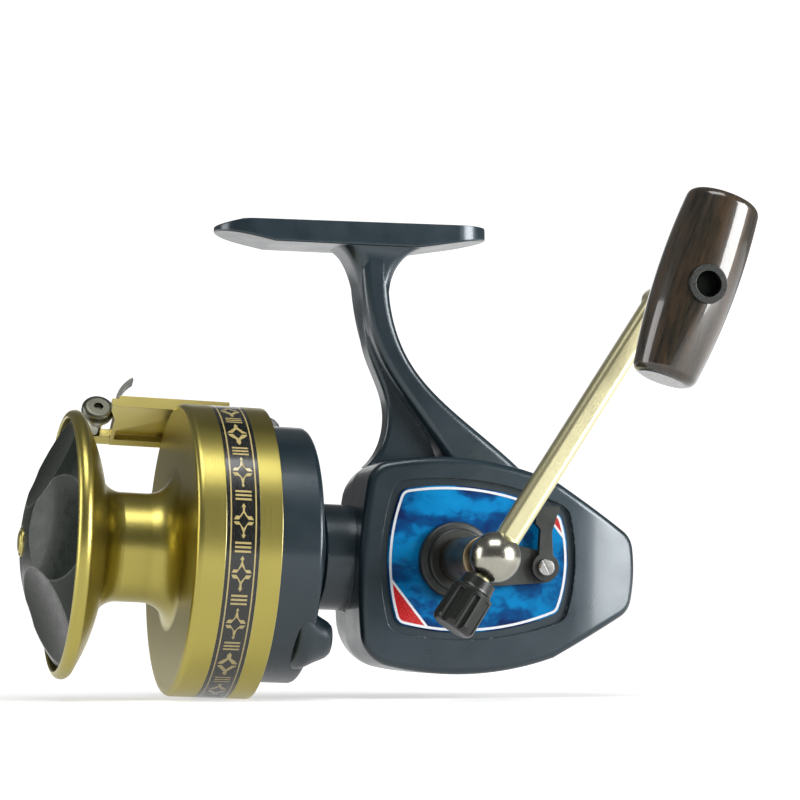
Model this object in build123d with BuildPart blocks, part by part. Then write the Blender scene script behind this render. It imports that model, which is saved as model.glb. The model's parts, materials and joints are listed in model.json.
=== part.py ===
"""Large skirted fixed-spool fishing reel with a manual roller pick-up, crank on the left-hand side.

The rod seat of the foot is the origin: +Z leaves the seat, X runs along the rod and -X points at
the rod tip. The spool line is tilted a little nose-up under the rod. Everything but the foot is
drawn from that tilted line: stations count rearwards from the crank axis, heights count from the
spool line towards the rod, and reaches count towards the handle.
"""
import os
from math import asin, cos, radians, sin, sqrt, tan

from build123d import *

os.makedirs("parts", exist_ok=True)

# ---------------------------------------------------------------- driving dimensions (mm, degrees)
# stance under the rod
spool_tilt = 2.5            # spool line against the rod, nose up
seat_height = 84.8          # rod seat above the spool line
seat_ahead = 26.2           # middle of the seat ahead of the crank axis

# fits
running_fit = 0.05          # radial clearance of a turning or sliding pair
seat_gap = 0.02             # radial clearance of a pressed or clamped seat
face_gap = 0.1              # end clearance between turning faces
body_gap = 0.3              # clearance between pieces that pass each other

# foot and stem
foot_length = 71.0
foot_width = 18.0
foot_thickness = 5.6
foot_tip_thickness = 2.6
foot_bevel = 6.0            # length of the ramp at each end of the seat
stem_width = 16.0
web_width = 7.0             # thin web in front of the stem's leg

# gear case
case_nose = 24.4            # crank axis to the front wall
case_tail = 48.6            # crank axis to the tail
case_half_height = 27.0
case_drop = 1.2             # case centre line below the spool line
case_far = 14.0             # far side beyond the spool line
case_round = 6.0            # rounding of the far side
case_swell = 6.5            # how much rounder the corners become towards the far side
case_wall = 2.4
case_peak = 4.0             # station of the highest and lowest points
case_slope_start = 27.0     # station where the sides run straight to the tail
case_slope_drop = 5.0
case_nose_lean = 2.0
case_nose_drop = 2.9
case_tail_half = 9.6
case_tail_bow = 1.2
case_corner = 6.5
case_chin = 9.0             # rounding of the lower front corner
cover_seam = 12.0           # reach of the joint between case and side cover
cover_face = 18.0           # reach of the cover's outer face
cover_wall = 2.6
cover_round = 2.0
cover_sweep = 30.0          # station where the cover starts to curve back to the tail
cover_fall = 3.4            # how far the cover has curved back at the tail
pocket_depth = 1.3
plate_thickness = 0.8
plate_front = 17.4          # emblem plate ahead of the crank axis
plate_rear = 29.6
plate_half_height = 18.3
plate_lift = 0.4
plate_groove = 1.8
plate_corner = 3.0
cover_screw_radius = 1.5
cover_screw_head = 2.6
screw_boss = 3.0
screw_sink = 1.8            # screw heads below the far side
screw_forward = 14.6        # the two front screws ahead of the crank axis
screw_spread = 17.4         # and above or below the case centre line
screw_rear = 39.5

# neck and its bearing
neck_radius = 13.4
neck_reach = 7.7            # neck beyond the front wall
bearing_outer = 9.5
bearing_inner = 3.5
bearing_width = 6.0
bearing_ball = 1.5
bearing_balls = 8
race_wall = 1.6
retainer_thickness = 1.0
retainer_radius = 11.4

# gears
tooth_module = 0.7
pinion_teeth = 12
crown_teeth = 48
tooth_thickness = 0.8       # crown teeth on the pitch line
pinion_tooth = 0.95
tooth_slope = 20.0          # flank angle
crown_inner = 15.9
crown_width = 2.4
crown_disc = 3.0
tip_clearance = 0.25
crank_hub = 5.0
ratchet_teeth = 16
ratchet_radius = 8.0
ratchet_depth = 1.1
ratchet_width = 1.8
ratchet_phase = 2.0
stud_throw = 8.0            # crosswind stud from the crank axis: half the spool's stroke
stud_radius = 1.5
thrust_washer = 0.5

# shafts
shaft_radius = 2.0
crank_shaft_radius = 3.0
sleeve_radius = 5.5
sleeve_end = 43.6           # reach of the crank bearing sleeve
flange_radius = 9.6
flange_step_radius = 7.9
flange_thickness = 2.4
flange_step = 2.4

# crosswind block and rail
block_length = 6.0
block_half_height = 10.2
block_back = 3.0
rail_radius = 1.5
rail_height = -12.6
rail_rear = 21.0

# rotor
rotor_space = 2.7           # rotor to the inside of the spool's skirt
rotor_wall = 2.2
rotor_length = 28.7         # skirted cup, from its front edge to the rear rim
rotor_floor = 3.0
rotor_hub = 8.0
rotor_hub_length = 9.5
rotor_dish = 4.4            # hub behind the rear rim
rotor_nut_flats = 11.0
rotor_nut_height = 4.0
lug_radius = 5.2            # at its root on the rotor
lug_slope = 14.0            # taper of the lug, degrees
lug_inset = 3.6             # lug's centre inside the rotor's rim
lug_angle = 43.0            # from the bottom towards the handle
lug_reach = 31.9

# spool
skirt_radius = 36.5
skirt_length = 20.7
skirt_wall = 1.6
flange_wall = 2.0
cup_clearance = 1.5         # rotor's front edge to the inside of the skirt
line_width = 19.0           # skirt face to the root of the front lip
arbor_radius = 13.6
lip_step = 3.2              # rim of the front lip below the skirt
lip_lean = 4.4              # rim of the lip ahead of its root
knob_step = 2.1             # seat of the drag knob inside the rim of the lip
drag_bore = 10.5
drag_depth = 11.5
spool_web = 16.0            # bearing length on the main shaft
spool_hub = 11.0
arbor_flare = 6.8
label_width = 8.1
label_inset = 7.0           # label behind the skirt's front face
label_depth = 0.3

# drag
disc_thickness = 1.0
fibre_thickness = 1.4
knob_rise = 11.0
knob_shell = 5.0
knob_boss = 6.0
dish_count = 5
dish_radius = 55.0
dish_depth = 3.2
dish_orbit = 21.0
dish_turn = 9.0
button_radius = 2.9
button_stroke = 1.6
button_well = 4.4
collar_radius = 3.7
spring_wire = 0.9
spring_coil = 5.0
click_radius = 6.4
click_teeth = 20

# pick-up
arm_space = 1.5             # arm to the outside of the skirt
arm_wall = 2.2
arm_flange = 0.9
arm_top = 19.0              # upper edge of the arm, degrees past the top on the far side
arm_bottom = 44.5
arm_front = 81.6            # front edge ahead of the crank axis
arm_step = 53.0             # rear end of the channel, where the tongue to the pivot starts
pivot_angle = 34.0
pivot_stand = 3.4           # pivot outside the rotor
pivot_ahead = 42.4
pivot_pin = 1.5
eye_radius = 3.0
eye_width = 8.4
ear_half = eye_width / 2 + face_gap
ear_width = 2.4
roller_angle = 36.5
roller_stand = 2.9          # roller's middle outside the arm's inner face
roller_ahead = 85.8
roller_radius = 3.8         # at the cap
roller_waist = 2.0          # at the narrow end
roller_length = 7.0
roller_axle = 1.2
cap_radius = 4.2
cap_thickness = 2.3
finger_thickness = 0.8
finger_width = 2.8
finger_angle = 31.0
finger_sweep = 4.9
finger_rise = 10.4

# anti-reverse
lever_station = 22.5
lever_drop = -0.7
tab_thickness = 2.0
lever_hub = 3.5
lever_thickness = 2.0
lever_height = 14.7
cam_radius = 3.7            # reach of the cam's pin from the lever's shaft
cam_shaft = 2.2
pawl_station = 13.5
pawl_height = 12.5
pawl_pin = 1.4
pawl_lift = 0.5             # nose clear of the ratchet at rest

# handle
ball_stand = 8.4            # ball's middle beyond the end of the crank sleeve
ball_radius = 6.1
handle_angle = 31.1         # from straight up towards the tail
handle_radius = 75.0
arm_width = 5.9
arm_thick = 4.6
arm_shoulder = 4.6
arm_boss = 12.0
tail_radius = 1.9
nut_radius = 5.2
nut_length = 13.6
nut_flutes = 8
knob_stand = 24.6           # knob's long axis beyond the ball's middle
knob_length = 46.0
knob_belly = 9.6
knob_top_end = 8.7
knob_low_end = 7.4
knob_turn = 18.0
spindle_radius = 2.0
spindle_sink = 3.0
bushing_radius = 4.6

# what follows from the spool's size
lip_radius = skirt_radius - lip_step
knob_recess = lip_radius - knob_step
knob_radius = knob_recess - body_gap
rotor_radius = skirt_radius - skirt_wall - rotor_space
lug_orbit = rotor_radius - lug_inset
pivot_radius = rotor_radius + pivot_stand
arm_inner = skirt_radius + arm_space
roller_orbit = arm_inner + roller_stand

# ---------------------------------------------------------------- planes and lines
tilt = radians(spool_tilt)
crank_x = seat_ahead * cos(tilt) - seat_height * sin(tilt)
crank_z = -seat_ahead * sin(tilt) - seat_height * cos(tilt)
reel = Plane(origin=(crank_x, 0, crank_z), x_dir=(cos(tilt), 0, -sin(tilt)), z_dir=(0, -1, 0))
spool_line = Axis(reel.origin, reel.x_dir)
crank_line = Axis(reel.origin, reel.z_dir)
crank_section = Plane(origin=reel.origin, x_dir=reel.x_dir, z_dir=-reel.y_dir)


def at(station, height=0.0, reach=0.0):
    """A point from its station, height and reach."""
    return reel.from_local_coords((station, height, reach))


def side(reach):
    """Side view plane: drawn as (station, height), facing the handle."""
    return reel.offset(reach)


def across(station):
    """Section across the spool line: drawn as (away from the handle, height), facing the tail."""
    return Plane(origin=at(station), x_dir=-reel.z_dir, z_dir=reel.x_dir)


def radial(angle):
    """Half section through the spool line, the given degrees past the top on the far side."""
    turn = radians(angle)
    normal = reel.y_dir * sin(turn) + reel.z_dir * cos(turn)
    return Plane(origin=reel.origin, x_dir=reel.x_dir, z_dir=normal)


def finish(piece, name):
    piece.part.label = name
    export_step(piece.part, f"parts/{name}.step")


def level(height):
    """Plan view plane: drawn as (station, away from the handle), facing the rod."""
    return Plane(origin=at(0, height), x_dir=reel.x_dir, z_dir=reel.y_dir)


def tangent(station, radius, angle, shift=0.0):
    """Plane across a tangential pin: drawn as (towards the tail, outwards)."""
    turn = radians(angle)
    outward = reel.y_dir * cos(turn) - reel.z_dir * sin(turn)
    along = reel.y_dir * sin(turn) + reel.z_dir * cos(turn)
    middle = reel.origin + reel.x_dir * station + outward * radius + along * shift
    return Plane(origin=middle, x_dir=reel.x_dir, z_dir=along)


def reach_of(shape):
    return reel.to_local_coords(shape.center()).Z


def station_of(shape):
    return reel.to_local_coords(shape.center()).X


# ---------------------------------------------------------------- stations and reaches that follow
case_front = -case_nose
neck_front = case_front - neck_reach
cover_inner = cover_face - cover_wall
pocket_floor = cover_face - pocket_depth
plate_face = pocket_floor + plate_thickness
far_inner = case_wall - case_far
screw_points = [
    (-screw_forward, screw_spread - case_drop),
    (-screw_forward, -screw_spread - case_drop),
    (screw_rear, -case_drop),
]
pinion_outer = tooth_module * (pinion_teeth + 2) / 2
pinion_root = tooth_module * (pinion_teeth - 2.5) / 2
pinion_pitch = tooth_module * pinion_teeth / 2
pinion_front = case_front + case_wall
pinion_rear = -crown_inner + crown_width
neck_bore = pinion_outer + 1.0
crown_root = pinion_outer + tip_clearance
crown_tip = pinion_root + tip_clearance
gear_back = crown_root + crown_disc
ratchet_front = gear_back + 1.1
hub_end = ratchet_front + ratchet_width + 0.3
sleeve_start = hub_end + thrust_washer + 2 * face_gap
block_face = shaft_radius + 0.9
hub_back = neck_front - body_gap
rotor_floor_front = hub_back - rotor_floor
rotor_corner = hub_back - rotor_dish
rotor_front = rotor_corner - rotor_length
hub_front = rotor_floor_front - rotor_hub_length
skirt_front = rotor_front - cup_clearance - flange_wall
lip_root = skirt_front - line_width
lip_front = lip_root - 2 * lip_lean
knob_seat = lip_root - 1.8
drag_floor = knob_seat + drag_depth + 2
spool_rear = drag_floor + spool_web
dome_rim = lip_front + 1.6
dome_sphere = (knob_radius**2 + knob_rise**2) / (2 * knob_rise)
dome_middle = dome_rim - knob_rise + dome_sphere


ball_reach = sleeve_end + ball_stand
knob_axis_reach = ball_reach + knob_stand


# ---------------------------------------------------------------- gear case, neck, stem and foot
def case_outline(inset=0.0, swell=0.0):
    """Side view of the gear case or of its cavity, with corners rounder by the swell."""
    half = case_half_height - inset
    nose = case_nose - inset
    tail = case_tail - inset
    with BuildSketch() as outline:
        with BuildLine():
            front = case_nose_lean - nose
            brow = half - case_nose_drop
            shoulder = (case_slope_start - inset / 4, half - case_slope_drop)
            rear = (tail - case_tail_bow, case_tail_half - inset / 2)
            top = ThreePointArc((front, brow), (case_peak, half), shoulder)
            back = Line(top @ 1, rear)
            end = ThreePointArc(back @ 1, (tail, 0), (rear[0], -rear[1]))
            low = Line(end @ 1, (shoulder[0], -shoulder[1]))
            under = ThreePointArc(low @ 1, (case_peak, -half), (front, -brow))
            ThreePointArc(under @ 1, (-nose, 0), top @ 0)
        make_face()
        corners = outline.vertices().sort_by(Axis.X)
        chin = corners[:2].sort_by(Axis.Y)[0]
        fillet([corner for corner in corners[:2] + corners[-2:] if corner != chin], case_corner + swell - inset)
        fillet(outline.vertices().sort_by(lambda v: v.X + v.Y)[0], case_chin + swell - inset)
    return Pos(0, -case_drop) * outline.sketch


with BuildPart() as case_cavity:
    with BuildSketch(side(0)):
        add(case_outline(case_wall))
    extrude(amount=cover_seam + 1)
    with BuildSketch(side(0)):
        add(case_outline(case_wall))
    with BuildSketch(side(far_inner)):
        add(case_outline(case_wall, case_swell))
    loft(ruled=True)
    far_edges = case_cavity.edges().filter_by(lambda e: abs(reach_of(e) - far_inner) < 0.01)
    fillet(far_edges, case_round - case_wall)

with BuildPart() as foot:
    with BuildSketch(Plane.XZ.offset(-foot_width / 2)):
        with BuildLine():
            half = foot_length / 2
            Polyline(
                (-half + foot_bevel, 0),
                (half - 0.8, 0),
                (half, -0.8),
                (half, -foot_tip_thickness - 0.4),
                (0.45 * half, -foot_thickness - 0.5),
                (-0.6 * half, -foot_thickness),
                (-half, -foot_tip_thickness),
                (-half, -1.2),
                close=True,
            )
        make_face()
    extrude(amount=foot_width)
    with BuildSketch(Plane.XY.offset(-foot_thickness - 2)):
        SlotOverall(foot_length, foot_width)
    extrude(amount=foot_thickness + 4, mode=Mode.INTERSECT)
    fillet(foot.edges().filter_by(lambda e: e.center().Z < -0.5 and abs(e.center().Y) > 0.01), 0.5)

stem_top = seat_height - foot_thickness + 1.5
stem_low = case_half_height - case_drop - 3.5
with BuildPart() as stem_leg:
    with BuildSketch(side(-stem_width / 2)):
        with BuildLine():
            rise = (stem_top - stem_low) / 57.0
            rear = Spline(
                (22.0, stem_low),
                (3.8, stem_low + 13.8 * rise),
                (-11.2, stem_low + 28.0 * rise),
                (-16.6, stem_low + 42.0 * rise),
                (-16.2, stem_top),
            )
            Line(rear @ 1, (-24.8, stem_top))
            front = Spline(
                (-24.8, stem_top),
                (-22.6, stem_low + 39.0 * rise),
                (-19.4, stem_low + 29.5 * rise),
                (-9.6, stem_low + 15.6 * rise),
                (2.0, stem_low),
            )
            Line(front @ 1, rear @ 0)
        make_face()
    extrude(amount=stem_width)
    fillet(stem_leg.edges().filter_by(GeomType.BSPLINE), 2.0)

with BuildPart() as stem_flare:
    with BuildSketch(side(-stem_width / 2 + 0.6)):
        with BuildLine():
            root = stem_top - 1.5
            ahead = ThreePointArc((-31.2, root + 0.4), (-26.8, root - 1.4), (-25.0, root - 5.8))
            Line(ahead @ 1, (-16.4, root - 6.6))
            ThreePointArc((-16.4, root - 6.6), (-14.4, root - 1.7), (-9.5, root + 0.3))
            Polyline((-9.5, root + 0.3), (-10.5, root + 1.2), (-30.0, root + 1.2), ahead @ 0)
        make_face()
    extrude(amount=stem_width - 1.2)
    fillet(stem_flare.edges().filter_by(GeomType.CIRCLE), 1.8)

with BuildPart() as stem_web:
    with BuildSketch(side(-web_width / 2 - 1)):
        with BuildLine():
            ridge = Spline(
                (-29.0, stem_top - 1.0),
                (-24.4, stem_low + 47.0 * rise),
                (-20.6, stem_low + 29.5 * rise),
                (-15.4, stem_low + 17.0 * rise),
                (-15.4, stem_low + 9.0 * rise),
                (-20.0, stem_low + 1.0),
            )
            Polyline(ridge @ 1, (0, stem_low), (-15.0, stem_low + 33.0 * rise), (-19.5, stem_top), ridge @ 0)
        make_face()
    extrude(amount=web_width)
    fillet(stem_web.edges().filter_by(lambda e: e.geom_type == GeomType.BSPLINE), 1.2)

with BuildPart() as housing:
    with BuildSketch(side(0)):
        add(case_outline())
    extrude(amount=cover_seam)
    with BuildSketch(side(0)):
        add(case_outline())
    with BuildSketch(side(-case_far)):
        add(case_outline(swell=case_swell))
    loft(ruled=True)
    far_edges = housing.edges().filter_by(lambda e: abs(reach_of(e) + case_far) < 0.01)
    fillet(far_edges, case_round)
    with BuildSketch(across(neck_front)):
        Circle(neck_radius)
    extrude(amount=neck_reach + case_wall)
    with BuildSketch(side(cover_seam)):
        add(case_outline())
    extrude(amount=neck_radius, mode=Mode.SUBTRACT)
    neck_root = housing.edges().filter_by(lambda e: abs(station_of(e) - neck_front) < 0.01)
    chamfer(neck_root, 0.5)
    add(stem_leg.part)
    add(stem_web.part)
    add(stem_flare.part)
    add(foot.part)
    add(case_cavity.part, mode=Mode.SUBTRACT)
    with BuildSketch(side(far_inner - 0.5)):
        with Locations(screw_points):
            Circle(screw_boss)
    extrude(amount=cover_seam - far_inner + 0.5)
    with BuildSketch(side(far_inner - 0.5)):
        with Locations((rail_rear - 2.0, rail_height)):
            Rectangle(4.0, 2 * rail_radius + 3.0)
    extrude(amount=rail_radius + 1.2 - far_inner + 0.5)
    with BuildSketch(side(-case_far - 1)):
        with Locations(screw_points):
            Circle(cover_screw_radius + running_fit)
    extrude(amount=case_far + cover_seam + 2, mode=Mode.SUBTRACT)
    with BuildSketch(side(-case_far - 1)):
        with Locations(screw_points):
            Circle(cover_screw_head + 0.2)
    extrude(amount=1 + screw_sink, mode=Mode.SUBTRACT)
    with BuildSketch(across(neck_front - 1)):
        Circle(bearing_outer + seat_gap)
    extrude(amount=1 + retainer_thickness + bearing_width, mode=Mode.SUBTRACT)
    with BuildSketch(across(neck_front - 1)):
        Circle(retainer_radius + seat_gap)
    extrude(amount=1 + retainer_thickness, mode=Mode.SUBTRACT)
    with BuildSketch(across(neck_front)):
        Circle(neck_bore)
    extrude(amount=neck_reach + case_wall + 1, mode=Mode.SUBTRACT)
    with BuildSketch(across(case_front - 1)):
        with Locations((0, rail_height)):
            Circle(rail_radius + seat_gap)
    extrude(amount=rail_rear - case_front - 0.5, mode=Mode.SUBTRACT)
finish(housing, "housing")

with BuildPart() as cover_screws:
    for point in screw_points:
        with BuildSketch(side(screw_sink - 1.4 - case_far)):
            with Locations(point):
                Circle(cover_screw_head)
        extrude(amount=1.4)
        with BuildSketch(side(screw_sink - case_far)):
            with Locations(point):
                Circle(cover_screw_radius)
        extrude(amount=case_far - screw_sink + cover_seam + 2.0)
    with BuildSketch(side(screw_sink - 1.4 - case_far)):
        with Locations(screw_points):
            Rectangle(2 * cover_screw_head + 1, 0.8)
    extrude(amount=0.7, mode=Mode.SUBTRACT)
finish(cover_screws, "cover_screws")

with BuildPart() as guide_rail:
    with BuildSketch(across(case_front + 0.2)):
        with Locations((0, rail_height)):
            Circle(rail_radius)
    extrude(amount=rail_rear - case_front - 1.8)
    chamfer(guide_rail.edges().filter_by(GeomType.CIRCLE), 0.3)
finish(guide_rail, "guide_rail")

# ---------------------------------------------------------------- side cover and what it carries
tail_fall = (case_tail, cover_face - cover_fall)
sweep_middle = ((cover_sweep + case_tail) / 2, cover_face - 0.25 * cover_fall)


def beyond_sweep(drop):
    """Plan view of what the curved tail leaves off, the given depth inside the outer face."""
    with BuildSketch() as region:
        with BuildLine():
            bend = ThreePointArc(
                (cover_sweep, drop - cover_face),
                (sweep_middle[0], drop - sweep_middle[1]),
                (tail_fall[0] + 2, drop - tail_fall[1] + 0.9),
            )
            Polyline(bend @ 1, (tail_fall[0] + 2, -cover_face - 2), (cover_sweep, -cover_face - 2), bend @ 0)
        make_face()
    return region.sketch


def plate_outline(grow=0.0):
    """Side view of the emblem plate, or of the larger pocket it lies in."""
    half = plate_half_height + grow
    front = plate_front + grow
    rear = plate_rear + grow
    with BuildSketch() as outline:
        with BuildLine():
            top = ThreePointArc((3.0 - front, half - 1.6), (2.0, half), (rear - 2.2, half - 6.0))
            back = ThreePointArc(top @ 1, (rear, 0), (rear - 2.2, 6.0 - half))
            under = ThreePointArc(back @ 1, (2.0, -half), (3.0 - front, 1.6 - half))
            ThreePointArc(under @ 1, (-front, 0), top @ 0)
        make_face()
        fillet(outline.vertices(), plate_corner + grow / 2)
    return Pos(0, plate_lift) * outline.sketch


with BuildPart() as cover_cavity:
    with BuildSketch(side(cover_seam - 1)):
        add(case_outline(case_wall))
    extrude(amount=cover_inner - cover_seam + 1)
    with BuildSketch(level(-2 * case_half_height)):
        add(beyond_sweep(cover_wall))
    extrude(amount=4 * case_half_height, mode=Mode.SUBTRACT)

with BuildPart() as side_cover:
    with BuildSketch(side(cover_seam)):
        add(case_outline())
    extrude(amount=cover_face - cover_seam)
    with BuildSketch(level(-2 * case_half_height)):
        add(beyond_sweep(0))
    extrude(amount=4 * case_half_height, mode=Mode.SUBTRACT)
    outer_edges = side_cover.edges().filter_by(
        lambda e: reach_of(e) > cover_seam + 0.5
        and not (abs(station_of(e) - cover_sweep) < 0.05 and e.length > case_half_height)
        and e.bounding_box().size.Y < cover_fall + 0.5
    )
    fillet(outer_edges.filter_by(lambda e: reach_of(e) > cover_face - cover_fall - 0.6), cover_round)
    add(cover_cavity.part, mode=Mode.SUBTRACT)
    with BuildSketch(side(cover_seam)):
        with Locations(screw_points):
            Circle(screw_boss)
    extrude(amount=cover_inner - cover_seam + 0.4)
    with BuildSketch(side(sleeve_start + 0.4)):
        Circle(sleeve_radius + 2.0)
    extrude(amount=cover_inner - sleeve_start)
    with BuildSketch(side(cover_inner - 2.2)):
        with Locations((pawl_station, pawl_height)):
            Circle(pawl_pin + 1.6)
    extrude(amount=2.6)
    with BuildSketch(side(pocket_floor)):
        add(plate_outline(plate_groove))
    extrude(amount=pocket_depth + 1, mode=Mode.SUBTRACT)
    with BuildSketch(side(cover_seam - 1)):
        Circle(sleeve_radius + seat_gap)
        with Locations((lever_station, lever_drop)):
            Circle(cam_shaft + running_fit)
    extrude(amount=cover_face, mode=Mode.SUBTRACT)
    with BuildSketch(side(cover_seam - 1)):
        with Locations((pawl_station, pawl_height)):
            Circle(pawl_pin + seat_gap)
    extrude(amount=cover_inner - cover_seam + 1, mode=Mode.SUBTRACT)
    with BuildSketch(side(cover_seam - 1)):
        with Locations(screw_points):
            Circle(cover_screw_radius + running_fit)
    extrude(amount=1 + 2.4, mode=Mode.SUBTRACT)
finish(side_cover, "side_cover")

with BuildPart() as emblem_plate:
    with BuildSketch(side(pocket_floor)):
        add(plate_outline())
        Circle(sleeve_radius + body_gap, mode=Mode.SUBTRACT)
        with Locations((lever_station, lever_drop)):
            Circle(cam_shaft + body_gap, mode=Mode.SUBTRACT)
    extrude(amount=plate_thickness)
    rim = emblem_plate.faces().sort_by(crank_line)[-1].outer_wire().edges()
    chamfer(rim, 0.25)
finish(emblem_plate, "emblem_plate")

step_top = plate_face + flange_thickness + flange_step
with BuildPart() as bearing_flange:
    with BuildSketch(crank_section):
        with BuildLine():
            Polyline(
                (0, plate_face),
                (flange_radius, plate_face),
                (flange_radius, plate_face + flange_thickness),
                (flange_step_radius, plate_face + flange_thickness + 0.4),
                (flange_step_radius, step_top),
                (0, step_top),
                close=True,
            )
        make_face()
    revolve(axis=crank_line)
    shoulder = bearing_flange.edges().filter_by(lambda e: abs(reach_of(e) - step_top) < 0.01)
    rim = bearing_flange.edges().filter_by(lambda e: abs(reach_of(e) - plate_face - flange_thickness) < 0.01)
    fillet(shoulder + rim, 0.7)
    with BuildSketch(side(plate_face)):
        Circle(flange_radius - 2.6)
        with Locations((lever_station, lever_drop)):
            Circle(lever_hub + 0.4)
        make_hull()
    extrude(amount=tab_thickness)
    with BuildSketch(side(plate_face - 1)):
        Circle(sleeve_radius + seat_gap)
        with Locations((lever_station, lever_drop)):
            Circle(cam_shaft + running_fit)
    extrude(amount=flange_thickness + flange_step + 2, mode=Mode.SUBTRACT)
finish(bearing_flange, "bearing_flange")

with BuildPart() as shaft_sleeve:
    with BuildSketch(side(sleeve_start)):
        Circle(sleeve_radius)
        Circle(crank_shaft_radius + running_fit, mode=Mode.SUBTRACT)
    extrude(amount=sleeve_end - sleeve_start)
    circles = shaft_sleeve.edges().filter_by(GeomType.CIRCLE)
    ends = circles.filter_by(lambda e: e.radius > sleeve_radius - 0.01)
    fillet(ends.sort_by(crank_line)[-1], 0.8)
finish(shaft_sleeve, "shaft_sleeve")

# ---------------------------------------------------------------- anti-reverse lever, cam and pawl
tab_face = plate_face + tab_thickness
cam_face = cover_inner - 0.3
cam_under = cam_face - 1.6
with BuildPart() as anti_reverse_lever:
    with BuildSketch(side(tab_face + face_gap)):
        with Locations((lever_station, lever_drop)):
            Circle(lever_hub)
        with BuildLine():
            Polyline(
                (lever_station - 1.9, lever_drop + 2),
                (lever_station - 1.7, lever_height - 6),
                (lever_station - 3.0, lever_height - 4.6),
                (lever_station - 3.0, lever_height - 0.4),
                (lever_station + 3.2, lever_height),
                (lever_station + 1.3, lever_height - 6.6),
                (lever_station + 1.9, lever_drop + 2),
                close=True,
            )
        make_face()
    extrude(amount=lever_thickness)
    with BuildSketch(side(cam_under)):
        with Locations((lever_station, lever_drop)):
            Circle(cam_shaft)
    extrude(amount=tab_face + face_gap + 0.2 - cam_under)
finish(anti_reverse_lever, "anti_reverse_lever")

with BuildPart() as lever_screw:
    with BuildSketch(side(tab_face + face_gap + lever_thickness)):
        with Locations((lever_station, lever_drop)):
            Circle(2.1)
    extrude(amount=1.3)
    chamfer(lever_screw.edges().sort_by(crank_line)[-1], 0.4)
    with BuildSketch(side(tab_face + face_gap + lever_thickness + 0.7)):
        with Locations((lever_station, lever_drop)):
            Rectangle(0.7, 6.0, rotation=30)
    extrude(amount=1, mode=Mode.SUBTRACT)
finish(lever_screw, "lever_screw")

cam_pin = (lever_station + 0.3, lever_drop + cam_radius)
with BuildPart() as lever_cam:
    with BuildSketch(side(cam_under)):
        with Locations((lever_station, lever_drop)):
            Circle(cam_radius + 1.6)
    extrude(amount=cam_face - cam_under)
    with BuildSketch(side(ratchet_front)):
        with Locations(cam_pin):
            Circle(1.1)
    extrude(amount=cam_under - ratchet_front + 0.2)
    with BuildSketch(side(cam_under)):
        with Locations((lever_station, lever_drop)):
            Circle(cam_shaft + seat_gap)
    extrude(amount=cam_face - cam_under, mode=Mode.SUBTRACT)
finish(lever_cam, "lever_cam")

pawl_nose = (0.0, ratchet_radius + pawl_lift + 0.5)
pawl_tail = (lever_station - 2.0, lever_drop + cam_radius - 0.5)
with BuildPart() as anti_reverse_pawl:
    with BuildSketch(side(ratchet_front)):
        with Locations((pawl_station, pawl_height)):
            Circle(2.6)
        with Locations(pawl_nose):
            Circle(0.5)
        make_hull()
    extrude(amount=ratchet_width)
    with BuildSketch(side(ratchet_front)):
        with Locations((pawl_station, pawl_height)):
            Circle(2.6)
        with Locations(pawl_tail):
            Circle(1.0)
        make_hull()
    extrude(amount=ratchet_width)
    with BuildSketch(side(ratchet_front)):
        with Locations((pawl_station, pawl_height)):
            Circle(pawl_pin + running_fit)
    extrude(amount=ratchet_width, mode=Mode.SUBTRACT)
finish(anti_reverse_pawl, "anti_reverse_pawl")

with BuildPart() as pawl_pin_stud:
    with BuildSketch(side(ratchet_front)):
        with Locations((pawl_station, pawl_height)):
            Circle(pawl_pin)
    extrude(amount=cover_inner - ratchet_front)
    with BuildSketch(side(ratchet_front - 0.9)):
        with Locations((pawl_station, pawl_height)):
            Circle(pawl_pin + 0.9)
    extrude(amount=0.8)
    with BuildSketch(side(ratchet_front - 0.2)):
        with Locations((pawl_station, pawl_height)):
            Circle(pawl_pin)
    extrude(amount=0.3)
finish(pawl_pin_stud, "pawl_pin")

# ---------------------------------------------------------------- crank shaft, crown gear and ratchet
with BuildPart() as drive_shaft:
    with BuildSketch(side(crown_root)):
        Circle(crank_shaft_radius)
    extrude(amount=ball_reach - tail_radius - body_gap - crown_root)
    chamfer(drive_shaft.edges().filter_by(GeomType.CIRCLE), 0.3)
finish(drive_shaft, "drive_shaft")


def crown_tooth():
    """Section of a crown tooth, drawn as (along the rim, reach)."""
    slope = tan(radians(tooth_slope))
    pitch_reach = pinion_pitch
    half_tip = tooth_thickness / 2 - (pitch_reach - crown_tip) * slope
    half_root = tooth_thickness / 2 + (crown_root - pitch_reach) * slope
    with BuildSketch() as tooth:
        Polygon(
            (-half_root, crown_root + 0.2),
            (-half_root, crown_root),
            (-half_tip, crown_tip),
            (half_tip, crown_tip),
            (half_root, crown_root),
            (half_root, crown_root + 0.2),
            align=None,
        )
    return tooth.sketch


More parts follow.
